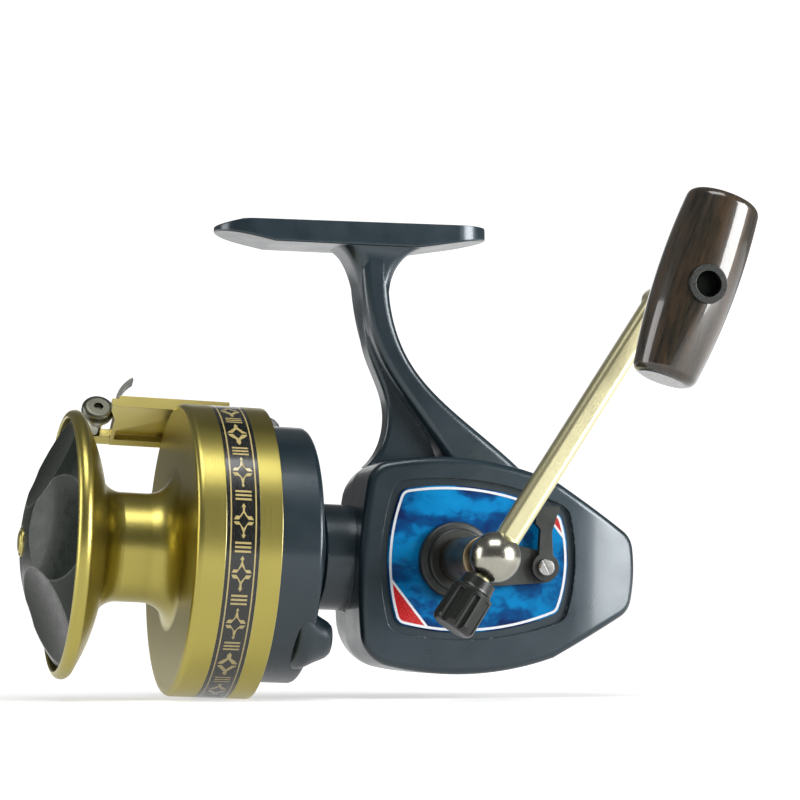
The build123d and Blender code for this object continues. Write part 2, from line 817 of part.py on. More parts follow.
crown_outer = crown_inner + crown_width
with BuildPart() as drive_gear:
    with BuildSketch(side(crown_root)):
        Circle(crown_outer)
    extrude(amount=crown_disc)
    with BuildSketch(side(gear_back)):
        Circle(crank_hub)
    extrude(amount=hub_end - gear_back)
    for turn in range(crown_teeth):
        angle = radians((turn + 0.5) * 360 / crown_teeth)
        outward = reel.x_dir * cos(angle) + reel.y_dir * sin(angle)
        tooth_plane = Plane(
            origin=reel.origin + outward * crown_inner,
            x_dir=reel.x_dir * sin(angle) - reel.y_dir * cos(angle),
            z_dir=outward,
        )
        with BuildSketch(tooth_plane):
            add(crown_tooth() if tooth_plane.y_dir.dot(reel.z_dir) > 0 else mirror(crown_tooth(), Plane.XZ))
        extrude(amount=crown_width)
    with BuildSketch(side(block_face + body_gap)):
        with Locations((stud_throw, 0)):
            Circle(stud_radius)
    extrude(amount=crown_root - block_face - body_gap + 0.2)
    with BuildSketch(side(crown_root + 1.2)):
        Circle(crown_inner - 2.0)
        Circle(crank_hub + 5.5, mode=Mode.SUBTRACT)
    extrude(amount=crown_disc, mode=Mode.SUBTRACT)
    with BuildSketch(side(crown_root)):
        Circle(crank_shaft_radius + seat_gap)
    extrude(amount=hub_end - crown_root, mode=Mode.SUBTRACT)
finish(drive_gear, "drive_gear")

with BuildPart() as ratchet_wheel:
    with BuildSketch(side(ratchet_front)):
        with BuildLine():
            points = []
            step = radians(360 / ratchet_teeth)
            for turn in range(ratchet_teeth):
                angle = radians(turn * 360 / ratchet_teeth + ratchet_phase)
                points.append((ratchet_radius * cos(angle), ratchet_radius * sin(angle)))
                root = ratchet_radius - ratchet_depth
                foot_angle = angle + step - 0.03
                points.append((root * cos(foot_angle), root * sin(foot_angle)))
            Polyline(*points, close=True)
        make_face()
        Circle(crank_hub + seat_gap, mode=Mode.SUBTRACT)
    extrude(amount=ratchet_width)
finish(ratchet_wheel, "ratchet_wheel")

with BuildPart() as crank_washer:
    with BuildSketch(side(hub_end + face_gap)):
        Circle(sleeve_radius)
        Circle(crank_shaft_radius + running_fit, mode=Mode.SUBTRACT)
    extrude(amount=thrust_washer)
finish(crank_washer, "crank_washer")

# ---------------------------------------------------------------- neck bearing
race_middle = (bearing_inner + bearing_outer) / 2
bearing_front = neck_front + retainer_thickness
bearing_centre = bearing_front + bearing_width / 2


def race_ring(inner, outer):
    """Section of one bearing ring, drawn as (station, radius)."""
    with BuildSketch() as ring:
        with Locations((bearing_centre, (inner + outer) / 2)):
            Rectangle(bearing_width, outer - inner)
        with Locations((bearing_centre, race_middle)):
            Circle(bearing_ball + running_fit, mode=Mode.SUBTRACT)
    return ring.sketch


with BuildPart() as neck_bearing_outer:
    with BuildSketch(reel):
        add(race_ring(bearing_outer - race_wall, bearing_outer))
    revolve(axis=spool_line)
finish(neck_bearing_outer, "neck_bearing_outer")

with BuildPart() as neck_bearing_inner:
    with BuildSketch(reel):
        add(race_ring(bearing_inner + seat_gap, bearing_inner + race_wall))
    revolve(axis=spool_line)
finish(neck_bearing_inner, "neck_bearing_inner")

with BuildPart() as neck_bearing_balls:
    with BuildSketch(across(bearing_centre - 0.6)):
        Circle(race_middle + 0.5)
        Circle(race_middle - 0.5, mode=Mode.SUBTRACT)
    extrude(amount=1.2)
    for turn in range(bearing_balls):
        angle = radians(turn * 360 / bearing_balls)
        with Locations(at(bearing_centre, race_middle * sin(angle), race_middle * cos(angle))):
            Sphere(bearing_ball)
finish(neck_bearing_balls, "neck_bearing_balls")

with BuildPart() as bearing_retainer:
    with BuildSketch(across(neck_front)):
        Circle(retainer_radius)
        Circle(bearing_outer - race_wall, mode=Mode.SUBTRACT)
    extrude(amount=retainer_thickness)
finish(bearing_retainer, "bearing_retainer")

# ---------------------------------------------------------------- pinion
pinion_end = hub_front - rotor_nut_height - 2.0
with BuildPart() as pinion:
    with BuildSketch(across(pinion_end)):
        Circle(bearing_inner)
    extrude(amount=pinion_front - pinion_end)
    with BuildSketch(across(pinion_front)):
        Circle(pinion_root)
        slope = tan(radians(tooth_slope))
        half_tip = pinion_tooth / 2 - (pinion_outer - pinion_pitch) * slope
        half_root = pinion_tooth / 2 + (pinion_pitch - pinion_root) * slope
        with PolarLocations(0, pinion_teeth):
            Polygon(
                (pinion_root - 0.6, -half_root),
                (pinion_root, -half_root),
                (pinion_outer, -half_tip),
                (pinion_outer, half_tip),
                (pinion_root, half_root),
                (pinion_root - 0.6, half_root),
                align=None,
            )
    extrude(amount=pinion_rear - pinion_front)
    with BuildSketch(across(pinion_end)):
        Circle(shaft_radius + running_fit)
    extrude(amount=pinion_rear - pinion_end, mode=Mode.SUBTRACT)
finish(pinion, "pinion")

# ---------------------------------------------------------------- main shaft and crosswind block
shaft_tail = stud_throw + block_length / 2
shaft_nose = dome_middle - dome_sphere + 5.6
with BuildPart() as main_shaft:
    with BuildSketch(across(shaft_nose)):
        Circle(shaft_radius)
    extrude(amount=shaft_tail - shaft_nose)
    chamfer(main_shaft.edges().filter_by(GeomType.CIRCLE), 0.4)
finish(main_shaft, "main_shaft")

with BuildPart() as crosswind_block:
    with BuildSketch(side(-block_back)):
        with Locations((stud_throw, (block_half_height + rail_height - 3.0) / 2)):
            RectangleRounded(block_length, block_half_height - rail_height + 3.0, 1.2)
    extrude(amount=block_back + block_face)
    with BuildSketch(side(block_face - 0.6)):
        with Locations((stud_throw, 0)):
            SlotOverall(2 * (stud_throw + stud_radius + body_gap), 2 * (stud_radius + face_gap), rotation=90)
    extrude(amount=1, mode=Mode.SUBTRACT)
    with BuildSketch(across(stud_throw - block_length)):
        Circle(shaft_radius + seat_gap)
        with Locations((0, rail_height)):
            Circle(rail_radius + running_fit)
    extrude(amount=2 * block_length, mode=Mode.SUBTRACT)
    with BuildSketch(side(-block_back - 1)):
        with Locations((stud_throw, 0)):
            Circle(1.2 + seat_gap)
    extrude(amount=block_back - shaft_radius + 1.4, mode=Mode.SUBTRACT)
finish(crosswind_block, "crosswind_block")

with BuildPart() as block_screw:
    with BuildSketch(side(-block_back - 1.3)):
        with Locations((stud_throw, 0)):
            Circle(2.2)
    extrude(amount=1.3)
    with BuildSketch(side(-block_back - 0.2)):
        with Locations((stud_throw, 0)):
            Circle(1.2)
    extrude(amount=block_back + 0.2 - shaft_radius - seat_gap)
    with BuildSketch(side(-block_back - 1.3)):
        with Locations((stud_throw, 0)):
            Rectangle(5, 0.7)
    extrude(amount=0.6, mode=Mode.SUBTRACT)
finish(block_screw, "block_screw")

# ---------------------------------------------------------------- rotor
with BuildPart() as rotor:
    with BuildSketch(reel):
        with BuildLine():
            shell = Polyline(
                (rotor_corner - 1.4, rotor_radius),
                (rotor_front, rotor_radius),
                (rotor_front, rotor_radius - rotor_wall),
                (rotor_corner - rotor_floor, rotor_radius - rotor_wall),
                (rotor_corner - rotor_floor + 0.9, rotor_radius - rotor_wall - 3.0),
                (rotor_floor_front, rotor_hub + 6.0),
                (rotor_floor_front, rotor_hub),
                (hub_front, rotor_hub),
                (hub_front, bearing_inner + seat_gap),
                (hub_back, bearing_inner + seat_gap),
                (hub_back, rotor_hub + 6.0),
                (rotor_corner, rotor_radius - 1.4),
            )
            ThreePointArc(shell @ 1, (rotor_corner - 0.41, rotor_radius - 0.41), shell @ 0)
        make_face()
    revolve(axis=spool_line)
    lug_turn = radians(lug_angle)
    with BuildSketch(across(rotor_corner - 2)):
        with Locations((-lug_orbit * sin(lug_turn), -lug_orbit * cos(lug_turn))):
            Circle(lug_radius)
    extrude(amount=-lug_reach - rotor_corner + 2, taper=lug_slope)
    fillet(rotor.edges().filter_by(GeomType.CIRCLE).sort_by(spool_line)[-1], 1.6)
    with BuildSketch(tangent(-pivot_ahead, pivot_radius, pivot_angle, -ear_half - ear_width)):
        Circle(eye_radius)
        with Locations((0, -2.6)):
            Rectangle(2 * eye_radius + 1.6, 5.2)
    extrude(amount=2 * (ear_half + ear_width))
    with BuildSketch(tangent(-pivot_ahead, pivot_radius, pivot_angle, -ear_half)):
        Rectangle(4 * eye_radius, 2 * (pivot_radius - rotor_radius - 0.4))
        with Locations((0, pivot_radius - rotor_radius)):
            Rectangle(4 * eye_radius, 2 * (pivot_radius - rotor_radius))
    extrude(amount=2 * ear_half, mode=Mode.SUBTRACT)
    with BuildSketch(tangent(-pivot_ahead, pivot_radius, pivot_angle, -ear_half - ear_width - 1)):
        Circle(pivot_pin + seat_gap)
    extrude(amount=2 * (ear_half + ear_width + 1), mode=Mode.SUBTRACT)
finish(rotor, "rotor")

with BuildPart() as rotor_nut:
    with BuildSketch(across(hub_front - rotor_nut_height)):
        RegularPolygon(rotor_nut_flats / 2, 6, major_radius=False)
        Circle(bearing_inner + seat_gap, mode=Mode.SUBTRACT)
    extrude(amount=rotor_nut_height)
finish(rotor_nut, "rotor_nut")

with BuildPart() as pickup_pin:
    with BuildSketch(tangent(-pivot_ahead, pivot_radius, pivot_angle, -ear_half - ear_width)):
        Circle(pivot_pin)
    extrude(amount=2 * (ear_half + ear_width))
    with BuildSketch(tangent(-pivot_ahead, pivot_radius, pivot_angle, ear_half + ear_width)):
        Circle(pivot_pin + 0.9)
    extrude(amount=0.9)
    with BuildSketch(tangent(-pivot_ahead, pivot_radius, pivot_angle, -ear_half - ear_width - 0.9)):
        Circle(pivot_pin + 0.9)
    extrude(amount=0.9)
finish(pickup_pin, "pickup_pin")

# ---------------------------------------------------------------- spool
arbor_front = lip_root + 5.5
skirt_rear = skirt_front + skirt_length
flange_back = skirt_front + flange_wall
label_front = skirt_front + label_inset
with BuildPart() as spool:
    with BuildSketch(reel):
        with BuildLine():
            run = Polyline(
                (spool_rear, shaft_radius + running_fit),
                (spool_rear, spool_hub),
                (flange_back, spool_hub),
                (flange_back, skirt_radius - skirt_wall),
                (skirt_rear, skirt_radius - skirt_wall),
                (skirt_rear, skirt_radius),
                (label_front + label_width, skirt_radius),
                (label_front + label_width, skirt_radius - label_depth),
                (label_front, skirt_radius - label_depth),
                (label_front, skirt_radius),
                (skirt_front + 1.6, skirt_radius),
            )
            front_round = ThreePointArc(
                run @ 1, (skirt_front + 0.47, skirt_radius - 0.47), (skirt_front, skirt_radius - 1.6)
            )
            face = Line(front_round @ 1, (skirt_front, arbor_radius + arbor_flare))
            flare = RadiusArc(face @ 1, (skirt_front - arbor_flare, arbor_radius), arbor_flare)
            barrel = Line(flare @ 1, (arbor_front, arbor_radius))
            rise_out = RadiusArc(barrel @ 1, (lip_root, arbor_radius + 6.0), 6.0)
            steep = ThreePointArc(
                rise_out @ 1,
                (lip_root - 2.3, lip_radius - 6.9),
                (lip_root - 5.0, lip_radius - 1.4),
            )
            bead = ThreePointArc(
                steep @ 1,
                (lip_root - 6.7, lip_radius),
                (lip_front, knob_recess + 0.3),
            )
            Polyline(
                bead @ 1,
                (lip_front + 0.4, knob_recess),
                (lip_front + 3.3, knob_recess),
                (knob_seat, arbor_radius + 6.0),
                (knob_seat, drag_bore),
                (drag_floor, drag_bore),
                (drag_floor, shaft_radius + running_fit),
                (spool_rear, shaft_radius + running_fit),
            )
        make_face()
    revolve(axis=spool_line)
    inner_corner = spool.edges().filter_by(GeomType.CIRCLE).filter_by(
        lambda e: abs(station_of(e) - flange_back) < 0.01 and e.radius > skirt_radius - skirt_wall - 0.01
    )
    fillet(inner_corner, 1.0)
finish(spool, "spool")

with BuildPart() as skirt_label:
    with BuildSketch(across(label_front + 0.1)):
        Circle(skirt_radius)
        Circle(skirt_radius - label_depth + seat_gap, mode=Mode.SUBTRACT)
    extrude(amount=label_width - 0.2)
finish(skirt_label, "skirt_label")

disc_stack = []
edge = drag_floor
for layer in range(4):
    thickness = fibre_thickness if layer % 2 == 0 else disc_thickness
    disc_stack.append((edge - thickness, thickness))
    edge -= thickness
with BuildPart() as drag_discs_fibre:
    for front, thickness in disc_stack[0::2]:
        with BuildSketch(across(front)):
            Circle(drag_bore - body_gap)
            Circle(shaft_radius + 0.6, mode=Mode.SUBTRACT)
        extrude(amount=thickness)
finish(drag_discs_fibre, "drag_discs_fibre")

with BuildPart() as drag_discs_steel:
    for front, thickness in disc_stack[1::2]:
        with BuildSketch(across(front)):
            Circle(drag_bore - 2 * body_gap)
            Circle(shaft_radius + seat_gap, mode=Mode.SUBTRACT)
        extrude(amount=thickness)
finish(drag_discs_steel, "drag_discs_steel")

spring_rear = edge - face_gap
boss_rear = knob_seat + 2.0
with BuildPart() as drag_spring:
    coil_start = boss_rear + spring_wire / 2 + face_gap
    coil_rise = spring_rear - coil_start - spring_wire / 2
    with BuildLine():
        Helix(coil_rise / 2, coil_rise, spring_coil, center=at(coil_start), direction=reel.x_dir)
    with BuildSketch(Plane(origin=drag_spring.pending_edges[0] @ 0, z_dir=drag_spring.pending_edges[0] % 0)):
        Circle(spring_wire / 2)
    sweep()
finish(drag_spring, "drag_spring")

with BuildPart() as click_gear:
    with BuildSketch(across(spool_rear + face_gap)):
        Circle(click_radius - 0.6)
        with PolarLocations(click_radius - 0.7, click_teeth):
            Rectangle(1.4, 0.9)
        Circle(shaft_radius + seat_gap, mode=Mode.SUBTRACT)
    extrude(amount=2.2)
finish(click_gear, "click_gear")

with BuildPart() as click_leaf:
    with BuildSketch(across(spool_rear + 0.4)):
        with Locations((0, click_radius + 1.35)):
            Rectangle(0.5, 2.3)
        with Locations((2.6, click_radius + 2.7)):
            Rectangle(5.7, 0.5)
        with Locations((5.2, (click_radius + 2.7 + spool_hub + 2.0) / 2)):
            Rectangle(0.5, spool_hub - click_radius)
    extrude(amount=1.4)
    with BuildSketch(across(flange_back)):
        with Locations((5.2, spool_hub + 2.0)):
            Circle(1.5)
    extrude(amount=spool_rear - flange_back + 1.8)
finish(click_leaf, "click_leaf")

# ---------------------------------------------------------------- drag knob and release button
dish_middle = dome_sphere - dish_depth + dish_radius
dish_lean = asin(dish_orbit / dome_sphere)
dome_front = dome_middle - dome_sphere
with BuildPart() as drag_knob:
    with BuildSketch(reel):
        with BuildLine():
            inner_sphere = dome_sphere - knob_shell
            inner_edge = sqrt(inner_sphere**2 - (dome_rim + 1.4 - dome_middle) ** 2)
            mid_turn = asin(knob_radius / dome_sphere) / 2
            outer = ThreePointArc(
                (dome_front, 0),
                (dome_middle - dome_sphere * cos(mid_turn), dome_sphere * sin(mid_turn)),
                (dome_rim, knob_radius),
            )
            rim = Polyline(outer @ 1, (dome_rim + 1.4, knob_radius), (dome_rim + 1.4, inner_edge))
            boss_front = dome_middle - sqrt(inner_sphere**2 - knob_boss**2)
            inner_turn = asin((inner_edge + knob_boss) / 2 / inner_sphere)
            inside = ThreePointArc(
                rim @ 1,
                (dome_middle - inner_sphere * cos(inner_turn), inner_sphere * sin(inner_turn)),
                (boss_front, knob_boss),
            )
            Polyline(inside @ 1, (boss_rear, knob_boss), (boss_rear, 0), outer @ 0)
        make_face()
    revolve(axis=spool_line)
    for lobe in range(dish_count):
        angle = radians(dish_turn + lobe * 360 / dish_count)
        orbit = dish_middle * sin(dish_lean)
        middle = at(dome_middle - dish_middle * cos(dish_lean), orbit * sin(angle), orbit * cos(angle))
        with Locations(middle):
            Sphere(dish_radius, mode=Mode.SUBTRACT)
    with BuildSketch(across(dome_front - 1)):
        Circle(collar_radius)
    extrude(amount=1 + button_well, mode=Mode.SUBTRACT)
    with BuildSketch(across(dome_front)):
        Circle(shaft_radius + running_fit)
    extrude(amount=boss_rear - dome_front, mode=Mode.SUBTRACT)
finish(drag_knob, "drag_knob")

with BuildPart() as button_collar:
    with BuildSketch(across(dome_front - 0.3)):
        Circle(collar_radius - seat_gap)
        Circle(button_radius + running_fit, mode=Mode.SUBTRACT)
    extrude(amount=0.3 + button_well)
    chamfer(button_collar.edges().filter_by(GeomType.CIRCLE).sort_by(spool_line)[:2], 0.2)
finish(button_collar, "button_collar")

button_rear = dome_front + button_well - button_stroke - 0.9
with BuildPart() as release_button:
    with BuildSketch(across(dome_front - 0.7)):
        Circle(button_radius)
    extrude(amount=button_rear - dome_front + 0.7)
    fillet(release_button.edges().filter_by(GeomType.CIRCLE).sort_by(spool_line)[0], 0.8)
    with BuildSketch(across(button_rear - 0.2)):
        Circle(1.2)
    extrude(amount=0.9)
finish(release_button, "release_button")

# ---------------------------------------------------------------- pick-up arm, finger and line roller
arm_outer = arm_inner + arm_wall + arm_flange
with BuildPart() as arm_pocket:
    with BuildSketch(radial(arm_bottom)):
        with Locations((-(arm_front + arm_step) / 2, arm_inner - 1)):
            Rectangle(arm_front - arm_step + 20, 2 * (arm_flange + 1.6) + 0.6)
    revolve(axis=spool_line, revolution_arc=arm_bottom - arm_top)
    with BuildSketch(tangent(0, 0, (arm_top + arm_bottom) / 2)):
        with BuildLine():
            front = -arm_front - 1
            Polyline((front, 60), (front, -60), (-arm_step, -60), (-arm_step, 60), close=True)
        make_face()
    extrude(amount=60, both=True, mode=Mode.INTERSECT)
    pocket_plane = Plane(
        origin=reel.origin,
        x_dir=reel.x_dir,
        z_dir=tangent(0, 0, (arm_top + arm_bottom) / 2).y_dir,
    )
    with BuildSketch(pocket_plane):
        half = radians((arm_bottom - arm_top) / 2)
        high = arm_inner * sin(half)
        Polygon(
            (-arm_front + 0.9, high - 1.9),
            (-arm_front + 0.9, high - 5.2),
            (-arm_front + 21.0, -high + 1.9),
            (-arm_step - 2.0, -high + 1.9),
            (-arm_step - 2.0, high - 1.9),
            align=None,
        )
    extrude(amount=60, mode=Mode.INTERSECT)

with BuildPart() as arm_nose:
    nose_tip = roller_ahead - roller_waist
    with BuildSketch(radial(arm_bottom)):
        with Locations((-(arm_front + nose_tip) / 2, arm_inner + arm_wall / 2)):
            Rectangle(nose_tip - arm_front + 0.4, arm_wall)
    revolve(axis=spool_line, revolution_arc=arm_bottom - arm_top)
    with BuildSketch(pocket_plane):
        Polygon(
            (0.2 - arm_front, -high - 1),
            (0.4 - nose_tip, -high - 1),
            (0.6 - nose_tip, 2.6 - high),
            (1.6 - nose_tip, 5.4 - high),
            (0.2 - arm_front, 7.4 - high),
            align=None,
        )
    extrude(amount=60, mode=Mode.INTERSECT)

tongue_end = pivot_ahead + eye_radius + 2 * body_gap
with BuildPart() as pickup_arm:
    with BuildSketch(radial(arm_bottom)):
        with Locations((-(arm_front + arm_step) / 2, (arm_inner + arm_outer) / 2)):
            Rectangle(arm_front - arm_step, arm_outer - arm_inner)
    revolve(axis=spool_line, revolution_arc=arm_bottom - arm_top)
    with BuildSketch(radial(arm_bottom)):
        with Locations((-(arm_step + tongue_end) / 2, (arm_inner + arm_outer - 0.8) / 2)):
            Rectangle(arm_step - tongue_end + 0.2, arm_outer - arm_inner - 0.8)
    revolve(axis=spool_line, revolution_arc=2 * (arm_bottom - pivot_angle))
    add(arm_pocket.part, mode=Mode.SUBTRACT)
    add(arm_nose.part)
    with BuildSketch(tangent(-pivot_ahead, pivot_radius, pivot_angle, -eye_width / 2)):
        Circle(eye_radius)
        with Locations((-eye_radius / 2 - 0.9, arm_inner - pivot_radius)):
            Rectangle(eye_radius + 1.8, 2.6)
    extrude(amount=eye_width)
    with BuildSketch(tangent(-roller_ahead, roller_orbit, roller_angle, -roller_length / 2 - 3.2)):
        Circle(roller_waist)
        with Locations(((roller_ahead - arm_front) / 2 + 0.6, -0.6)):
            Rectangle(roller_ahead - arm_front + 1.2, 2.6)
    extrude(amount=3.0)
    with BuildSketch(tangent(-roller_ahead, roller_orbit, roller_angle, -roller_length / 2 - 4)):
        Circle(roller_axle + seat_gap)
    extrude(amount=4, mode=Mode.SUBTRACT)
    with BuildSketch(tangent(-pivot_ahead, pivot_radius, pivot_angle, -eye_width / 2 - 1)):
        Circle(pivot_pin + running_fit)
    extrude(amount=eye_width + 2, mode=Mode.SUBTRACT)
finish(pickup_arm, "pickup_arm")

with BuildPart() as line_roller:
    half = roller_length / 2
    roller_section = Plane(
        origin=tangent(-roller_ahead, roller_orbit, roller_angle).origin,
        x_dir=tangent(0, 0, roller_angle).z_dir,
        z_dir=reel.x_dir,
    )
    with BuildSketch(roller_section):
        with BuildLine():
            flank = Polyline(
                (-half, roller_axle + running_fit),
                (-half, roller_waist - 0.2),
                (-half + 0.6, roller_waist - 0.2),
            )
            groove = ThreePointArc(flank @ 1, (0.2, roller_waist + 0.35), (half - 0.9, roller_radius))
            Polyline(
                groove @ 1,
                (half, roller_radius),
                (half, roller_axle + running_fit),
                (-half, roller_axle + running_fit),
            )
        make_face()
    revolve(axis=Axis(roller_section.origin, roller_section.x_dir))
finish(line_roller, "line_roller")

with BuildPart() as roller_screw:
    with BuildSketch(tangent(-roller_ahead, roller_orbit, roller_angle, half + face_gap)):
        Circle(cap_radius)
    extrude(amount=cap_thickness)
    fillet(roller_screw.edges().filter_by(GeomType.CIRCLE).sort_by(Axis.Y)[0], 1.5)
    chamfer(roller_screw.edges().filter_by(GeomType.CIRCLE).sort_by(Axis.Y)[-1], 0.25)
    with BuildSketch(tangent(-roller_ahead, roller_orbit, roller_angle, -half - 4.2)):
        Circle(roller_axle)
    extrude(amount=2 * half + 4.4)
    cap_face = half + face_gap + cap_thickness
    with BuildSketch(tangent(-roller_ahead, roller_orbit, roller_angle, cap_face - 1.2)):
        RegularPolygon(1.3, 6)
    extrude(amount=1.5, mode=Mode.SUBTRACT)
finish(roller_screw, "roller_screw")

finger_base = (-arm_front + 0.2, arm_outer)
with BuildPart() as pickup_finger:
    with BuildSketch(tangent(0, 0, finger_angle, -finger_width / 2)):
        with BuildLine():
            inner = ThreePointArc(
                (finger_base[0] + 0.1, finger_base[1] + 0.02),
                (finger_base[0] + 1.0, finger_base[1] + 5.8),
                (finger_base[0] + finger_sweep, finger_base[1] + finger_rise),
            )
            tip = Line(inner @ 1, inner @ 1 + Vector(0.2, -finger_thickness))
            outer = ThreePointArc(
                tip @ 1,
                (finger_base[0] + 1.8, finger_base[1] + 5.3),
                (finger_base[0] + 1.0, finger_base[1] + finger_thickness),
            )
            Polyline(
                outer @ 1,
                (finger_base[0] + 3.0, finger_base[1] + finger_thickness),
                (finger_base[0] + 3.0, finger_base[1] + 0.02),
                inner @ 0,
            )
        make_face()
    extrude(amount=finger_width)
finish(pickup_finger, "pickup_finger")

# ---------------------------------------------------------------- handle
lean = radians(handle_angle)
arm_dir = reel.x_dir * sin(lean) + reel.y_dir * cos(lean)


def handle_plane(distance):
    """Plane across the handle arm, the given distance from the ball's middle."""
    return Plane(origin=at(0, 0, ball_reach) + arm_dir * distance, x_dir=reel.z_dir, z_dir=arm_dir)


ball_start = sleeve_end + 2 * face_gap
ball_collar = crank_shaft_radius + 1.2
with BuildPart() as crank_ball:
    with BuildSketch(crank_section):
        with BuildLine():
            collar = Polyline(
                (crank_shaft_radius + seat_gap, ball_reach - tail_radius - 0.1),
                (crank_shaft_radius + seat_gap, ball_start),
                (ball_collar, ball_start),
                (ball_collar, ball_reach - sqrt(ball_radius**2 - ball_collar**2)),
            )
            ThreePointArc(collar @ 1, (ball_radius, ball_reach), (0, ball_reach + ball_radius))
            Polyline((0, ball_reach + ball_radius), (0, ball_reach - tail_radius - 0.1), collar @ 0)
        make_face()
    revolve(axis=crank_line)
    with BuildSketch(handle_plane(-ball_radius - 1)):
        Circle(tail_radius + running_fit)
    extrude(amount=2 * ball_radius + 2, mode=Mode.SUBTRACT)
    with BuildSketch(handle_plane(arm_shoulder)):
        RectangleRounded(arm_thick + 2 * running_fit, arm_width + 2 * running_fit, 1.6)
    extrude(amount=ball_radius, mode=Mode.SUBTRACT)
finish(crank_ball, "crank_ball")

with BuildPart() as handle_arm:
    with BuildSketch(handle_plane(arm_shoulder)):
        RectangleRounded(arm_thick, arm_width, 1.6)
    extrude(amount=handle_radius - arm_shoulder)
    with BuildSketch(side(ball_reach - arm_thick / 2)):
        with Locations((handle_radius * sin(lean), handle_radius * cos(lean))):
            Circle(arm_width / 2 + 0.3)
    extrude(amount=arm_thick)
    with BuildSketch(side(ball_reach)):
        with Locations((handle_radius * sin(lean), handle_radius * cos(lean))):
            Circle(arm_width / 2 + 0.2)
    extrude(amount=arm_boss)
    with BuildSketch(handle_plane(1.4 - ball_radius - nut_length)):
        Circle(tail_radius)
    extrude(amount=ball_radius + nut_length + arm_shoulder - 0.9)
    with BuildSketch(side(ball_reach - arm_thick)):
        with Locations((handle_radius * sin(lean), handle_radius * cos(lean))):
            Circle(spindle_radius + seat_gap)
    extrude(amount=2 * arm_thick + arm_boss, mode=Mode.SUBTRACT)
finish(handle_arm, "handle_arm")

with BuildPart() as lock_nut:
    nut_start = -ball_radius - 0.6
    nut_end = nut_start - nut_length
    with BuildSketch(Plane(origin=at(0, 0, ball_reach), x_dir=arm_dir, z_dir=reel.z_dir)):
        with BuildLine():
            collar = Polyline((nut_start, 0), (nut_start, nut_radius - 1.2), (nut_start - 2.2, nut_radius - 1))
            shoulder = RadiusArc(collar @ 1, (nut_start - 3.4, nut_radius), 1.4)
            grip = Line(shoulder @ 1, (nut_end + 1.6, nut_radius + 0.2))
            cap = ThreePointArc(grip @ 1, (nut_end + 0.4, nut_radius - 0.5), (nut_end, nut_radius - 1.6))
            Polyline(cap @ 1, (nut_end, 0), (nut_start, 0))
        make_face()
    revolve(axis=Axis(at(0, 0, ball_reach), arm_dir))
    with BuildSketch(handle_plane(nut_end - 0.1)):
        with PolarLocations(nut_radius + 0.5, nut_flutes):
            Circle(1.2)
    extrude(amount=nut_length - 4.0, mode=Mode.SUBTRACT)
    with BuildSketch(handle_plane(-ball_radius - nut_length + 1.0)):
        Circle(tail_radius + running_fit)
    extrude(amount=nut_length, mode=Mode.SUBTRACT)
finish(lock_nut, "lock_nut")

spindle_foot = (handle_radius * sin(lean), handle_radius * cos(lean))
knob_inner = knob_axis_reach - knob_belly
knob_outer = knob_axis_reach + knob_belly
with BuildPart() as knob_spindle:
    with BuildSketch(side(ball_reach - arm_thick / 2)):
        with Locations(spindle_foot):
            Circle(spindle_radius)
    extrude(amount=knob_outer - spindle_sink - ball_reach + arm_thick / 2)
    with BuildSketch(side(knob_outer - spindle_sink)):
        with Locations(spindle_foot):
            Circle(spindle_radius + 0.9)
    extrude(amount=1.0)
finish(knob_spindle, "knob_spindle")

knob_lean = radians(knob_turn)
knob_long = reel.x_dir * sin(knob_lean) + reel.y_dir * cos(knob_lean)
knob_middle = at(spindle_foot[0], spindle_foot[1], knob_axis_reach)
knob_section = Plane(origin=knob_middle, x_dir=knob_long, z_dir=reel.z_dir)
with BuildPart() as handle_knob:
    with BuildSketch(knob_section):
        with BuildLine():
            half = knob_length / 2
            belly = ThreePointArc((-half, knob_low_end), (-1.0, knob_belly), (half, knob_top_end))
            Polyline(belly @ 1, (half, 0), (-half, 0), belly @ 0)
        make_face()
    revolve(axis=Axis(knob_middle, knob_long))
    fillet(handle_knob.edges().filter_by(GeomType.CIRCLE), 2.4)
    with BuildSketch(side(knob_inner - 1)):
        with Locations(spindle_foot):
            Circle(bushing_radius + seat_gap)
    extrude(amount=2 * knob_belly + 2, mode=Mode.SUBTRACT)
finish(handle_knob, "handle_knob")

with BuildPart() as knob_bushing:
    with BuildSketch(side(knob_inner - 0.6)):
        with Locations(spindle_foot):
            Circle(bushing_radius)
    extrude(amount=2 * knob_belly + 0.9)
    with BuildSketch(side(knob_inner - 1)):
        with Locations(spindle_foot):
            Circle(spindle_radius + running_fit)
    extrude(amount=2 * knob_belly + 2, mode=Mode.SUBTRACT)
    with BuildSketch(side(knob_outer - spindle_sink - face_gap)):
        with Locations(spindle_foot):
            Circle(spindle_radius + 1.1)
    extrude(amount=spindle_sink + 1, mode=Mode.SUBTRACT)
finish(knob_bushing, "knob_bushing")
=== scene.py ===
import json
import math

import bmesh
import bpy
import numpy as np
from mathutils import Matrix, Vector


